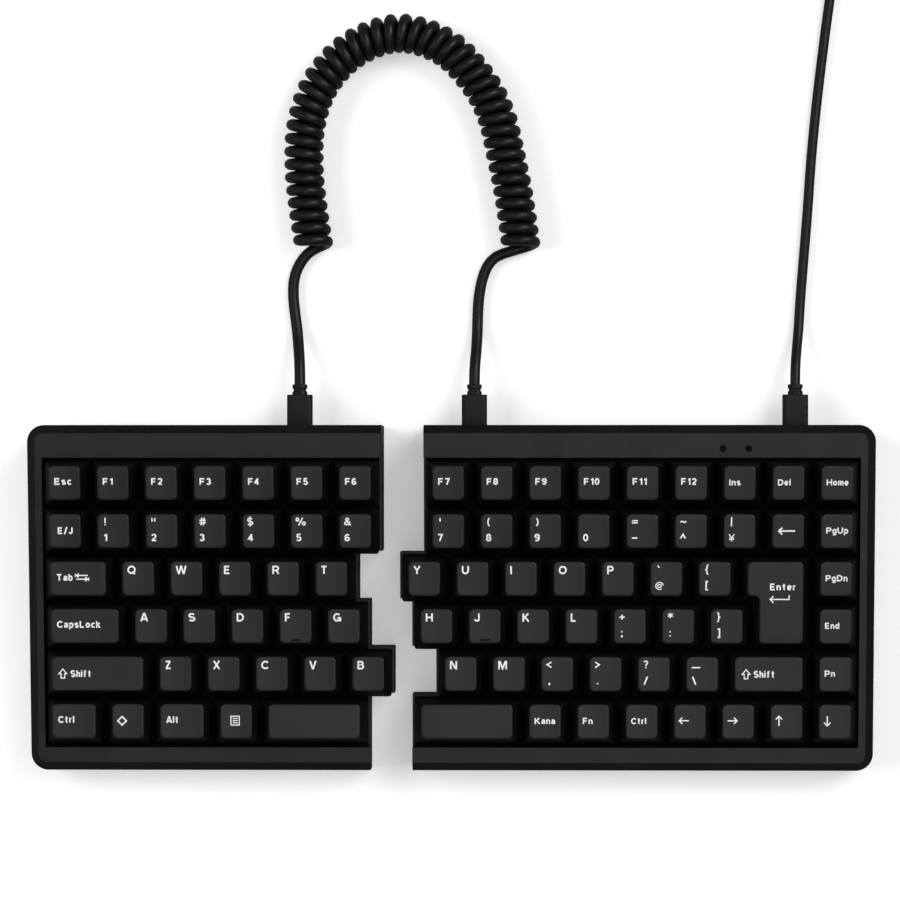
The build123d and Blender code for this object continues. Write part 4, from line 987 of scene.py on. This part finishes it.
def legend_shapes(cap, kind, text="", width=None):
    """The flat shapes of a legend, on the cap's own axes."""
    left, top = cap.low_x, cap.high_y
    middle = (cap.low_y + cap.high_y) / 2
    if kind in word_kinds:
        height, pen, across, up = word_kinds[kind]
        return placed(lettering(text, height, width, pen), left + across, middle - height / 2 + up)
    if kind in arrow_tips:
        across, up = arrow_tips[kind]
        return arrow(left + across, middle + up, arrow_length, kind)
    if kind == "back":
        return arrow(left + 2.5, middle + 0.1, 6.4, "left", 1.35, 0.62)
    if kind == "letter":
        return letter_legend(left, top, text)
    if kind == "pair":
        return pair_legend(left, top, text)
    if kind == "tab":
        return tab_legend(left, middle, text, width)
    if kind == "shift":
        return shift_legend(left, middle, text, width)
    if kind == "enter":
        return enter_legend(left, top, text, width)
    if kind == "system":
        return diamond_sign(left + 3.8, middle + 0.15)
    if kind == "menu":
        return list_sign(left + 5.75, middle + 0.25)
    return []


def letters(text):
    return [("letter", t) for t in text]


def pairs(*texts):
    return [("pair", t) for t in texts]


legends = {
    ("left", 0): [("word", "Esc", 6.8), ("word", "F1", 3.95)] + [("word", f"F{n}", 4.5) for n in range(2, 7)],
    ("left", 1): [("inset", "E/J", 5.9)] + pairs("! 1", '" 2', "# 3", "$ 4", "% 5", "& 6"),
    ("left", 2): [("tab", "Tab", 6.5)] + letters("QWERT"),
    ("left", 3): [("word", "CapsLock", 17.3)] + letters("ASDFG"),
    ("left", 4): [("shift", "Shift", 8.2)] + letters("ZXCVB"),
    ("left", 5): [("word", "Ctrl", 6.4), ("system",), ("word", "Alt", 4.9), ("menu",), ("none",)],
    ("right", 0): [("word", f"F{n}", 4.5) for n in (7, 8, 9)]
    + [("word", "F10", 6.1), ("word", "F11", 5.6), ("word", "F12", 6.1)]
    + [("small", "Ins", 4.5), ("small", "Del", 5.0), ("small", "Home", 8.6)],
    ("right", 1): pairs("' 7", "( 8", ") 9", ". 0", "= -", "~ ^", "| \u00a5")
    + [("back",), ("small", "PgUp", 8.6)],
    ("right", 2): letters("YUIOP") + pairs("` @", "{ [") + [("none",), ("small", "PgDn", 8.6)],
    ("right", 3): letters("HJKL") + pairs("+ ;", "* :", "} ]") + [("none",), ("small", "End", 5.6)],
    ("right", 4): letters("NM") + pairs("< ,", "> .", "? /", "_ \\")
    + [("shift", "Shift", 8.3), ("small", "Pn", 4.1)],
    ("right", 5): [("none",), ("small", "Kana", 8.1), ("small", "Fn", 3.9), ("small", "Ctrl", 6.0), ("left",),
                   ("right",), ("up",), ("down",)],
}
homing_keys = {("left", 3, 4), ("right", 3, 1)}
print_lift = 0.03
homing_bar_place = 1.3  # from the cap's front edge
homing_bar_loops = ((1.75, 0.42, -0.3), (1.75, 0.42, 0.12), (1.6, 0.22, 0.4))  # half width, half depth, rise


def add_legend(form, cap, shapes, x, s):
    """Lay flat shapes on the top of the cap at this place, a hair above it."""
    for points, faces in shapes:
        places = [on_deck(x + px, s + py, cap_rise + cap.height(px, py) + print_lift) for px, py in points]
        verts = [form.verts.new(place) for place in places]
        for face in faces:
            made = form.faces.new([verts[i] for i in face])
            made.material_index = 1
            made.normal_update()
            if made.normal.z < 0:
                made.normal_flip()


def add_homing_bar(form, cap, x, s):
    """The small raised bar near the front edge of the two finder keys."""
    front = cap.low_y + homing_bar_place
    rise = cap_rise + cap.height(0, front)
    loops = []
    for half, depth, up in homing_bar_loops:
        corners = ((-half, -depth), (half, -depth), (half, depth), (-half, depth))
        loops.append([form.verts.new(on_deck(x + px, s + front + py, rise + up)) for px, py in corners])
    for low, high in zip(loops, loops[1:]):
        for i in range(4):
            form.faces.new((low[i], low[(i + 1) % 4], high[(i + 1) % 4], high[i]))
    form.faces.new(loops[-1])


def keys_in(row, first, count=1):
    """Neighbouring keys of one row, as places in the tables of rows and legends."""
    return [(row, column) for column in range(first, first + count)]


banks = {
    "esc_key": ("left", keys_in(0, 0)),
    "function_keys_left": ("left", keys_in(0, 1, 6)),
    "number_keys_left": ("left", keys_in(1, 0, 7)),
    "tab_key": ("left", keys_in(2, 0)),
    "upper_letter_keys_left": ("left", keys_in(2, 1, 5)),
    "caps_lock_key": ("left", keys_in(3, 0)),
    "home_letter_keys_left": ("left", keys_in(3, 1, 5)),
    "shift_key_left": ("left", keys_in(4, 0)),
    "lower_letter_keys_left": ("left", keys_in(4, 1, 5)),
    "modifier_keys_left": ("left", keys_in(5, 0, 4)),
    "space_bar_left": ("left", keys_in(5, 4)),
    "function_keys_right": ("right", keys_in(0, 0, 6)),
    "number_keys_right": ("right", keys_in(1, 0, 7)),
    "backspace_key": ("right", keys_in(1, 7)),
    "upper_letter_keys_right": ("right", keys_in(2, 0, 7)),
    "home_letter_keys_right": ("right", keys_in(3, 0, 7)),
    "lower_letter_keys_right": ("right", keys_in(4, 0, 6)),
    "shift_key_right": ("right", keys_in(4, 6)),
    "space_bar_right": ("right", keys_in(5, 0)),
    "modifier_keys_right": ("right", keys_in(5, 1, 3)),
    "arrow_keys": ("right", keys_in(5, 4, 4)),
    "navigation_keys": ("right", [(0, 6), (0, 7), (0, 8), (1, 8), (2, 8), (3, 8), (4, 7)]),
}


def bank_piece(name, meshes, jobs):
    """A bank of caps with legends: each job is a cap, its legend, its place and if it has a homing bar."""
    form = bmesh.new()
    for mesh in meshes:
        form.from_mesh(mesh)
    for face in form.faces:
        face.material_index = 0
    for cap, legend, x, s, homing in jobs:
        add_legend(form, cap, legend_shapes(cap, *legend), x, s)
        if homing:
            add_homing_bar(form, cap, x, s)
    mesh = bpy.data.meshes.new(name)
    form.to_mesh(mesh)
    form.free()
    piece = put(name + "_caps", mesh, cap_finish, ink)
    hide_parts(name)
    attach(piece, name + "_body")


for name, (side, keys) in banks.items():
    groups, jobs = {}, []
    for row, column in keys:
        x, width = key_x(side, row, column)
        cap, stock = stock_cap(width, row)
        s = row_middle(row)
        groups.setdefault(stock, []).append(on_deck(x, s, cap_rise))
        jobs.append((cap, legends[side, row][column], x, s, (side, row, column) in homing_keys))
    bank_piece(name, laid_caps(groups), jobs)

enter_wide, enter_narrow = 1.5 * pitch, 1.25 * pitch
enter_right = enter_narrow / 2 - cap_gap / 2
enter_edges = [
    (1, 0, enter_right), (0, 1, pitch - cap_gap / 2),
    (-1, 0, enter_wide - cap_gap / 2 - enter_narrow / 2), (0, -1, -cap_gap / 2),
    (-1, 0, enter_narrow / 2 - cap_gap / 2), (0, -1, pitch - cap_gap / 2),
]
enter_middle = (enter_right - 9.0, 9.5)
enter_cap = Cap(enter_edges, front_heights[3], rear_heights[2], enter_dish, enter_middle)
enter_stock = put("cap_enter", cap_form(enter_cap))
enter_x, _ = key_x("right", 3, 7)
enter_s = row_middle(2) - pitch / 2
bank_piece(
    "enter_key", laid_caps({enter_stock: [on_deck(enter_x, enter_s, cap_rise)]}),
    [(enter_cap, ("enter", "Enter", 10.2), enter_x, enter_s, False)],
)
for _, stock in cap_stock.values():
    drop(stock)
drop(enter_stock)


# Floor and light, in metres
floor_half, floor_height = 6, -0.0002
camera_lift = 0.37  # the floor's own glow, seen by the camera alone


def studio_floor():
    """A white floor that keeps soft shadows."""
    finish = Finish("studio_floor", (0.85, 0.85, 0.85), 0.9)
    ray = finish.add("LightPath")
    lift = finish.add("Math", ray.outputs["Is Camera Ray"], operation="MULTIPLY")
    lift.inputs[1].default_value = camera_lift
    dulled = finish.mix(ray.outputs["Is Glossy Ray"], (0.85, 0.85, 0.85), (0.3, 0.3, 0.3))
    finish.feed(dulled, "Base Color")
    finish.shader.inputs["Emission Color"].default_value = (1, 1, 1, 1)
    finish.feed(lift.outputs[0], "Emission Strength")
    finish.shader.inputs["Specular IOR Level"].default_value = 0.1
    return finish.material


corners = [(x * floor_half, y * floor_half, floor_height) for x, y in ((-1, -1), (1, -1), (1, 1), (-1, 1))]
floor_mesh = bpy.data.meshes.new("studio_floor")
floor_mesh.from_pydata(corners, [], [(0, 1, 2, 3)])
floor = put("studio_floor", floor_mesh, studio_floor())

world = bpy.data.worlds.new("studio")
scene.world = world
world.use_nodes = True
sky_nodes, sky_links = world.node_tree.nodes, world.node_tree.links
light_path = sky_nodes.new("ShaderNodeLightPath")


def sky_choice(ray, color):
    """A mix that shows this colour to one kind of ray."""
    choice = sky_nodes.new("ShaderNodeMix")
    choice.data_type = "RGBA"
    choice.inputs[7].default_value = (*color, 1)
    sky_links.new(light_path.outputs[ray], choice.inputs[0])
    return choice


in_gloss = sky_choice("Is Glossy Ray", (0.1, 0.1, 0.103))
in_view = sky_choice("Is Camera Ray", (1, 1, 1))
in_gloss.inputs[6].default_value = (0.14, 0.14, 0.145, 1)
sky_links.new(in_gloss.outputs[2], in_view.inputs[6])
sky_links.new(in_view.outputs[2], sky_nodes["Background"].inputs["Color"])
lamp_aim = (0, 0.05, 0)


def soft_lamp(name, place, size, energy):
    data = bpy.data.lights.new(name, "AREA")
    data.shape = "RECTANGLE"
    data.size, data.size_y = size
    data.energy = energy
    lamp = bpy.data.objects.new(name, data)
    scene.collection.objects.link(lamp)
    lamp.location = place
    lamp.rotation_euler = (Vector(lamp_aim) - Vector(place)).to_track_quat("-Z", "Y").to_euler()
    return lamp


fill_place = (-1.5, 0.3, 1.2)
soft_lamp("key_lamp", (1.25, 0.9, 1.5), (1.2, 1.2), 21)
soft_lamp("fill_lamp", fill_place, (1.2, 1.2), 4)
matt_fill = soft_lamp("matt_fill_lamp", fill_place, (1.2, 1.2), 19)
matt_fill.visible_glossy = False
soft_lamp("overhead_lamp", (0.35, -0.4, 2.1), (2.2, 1.9), 11.5)
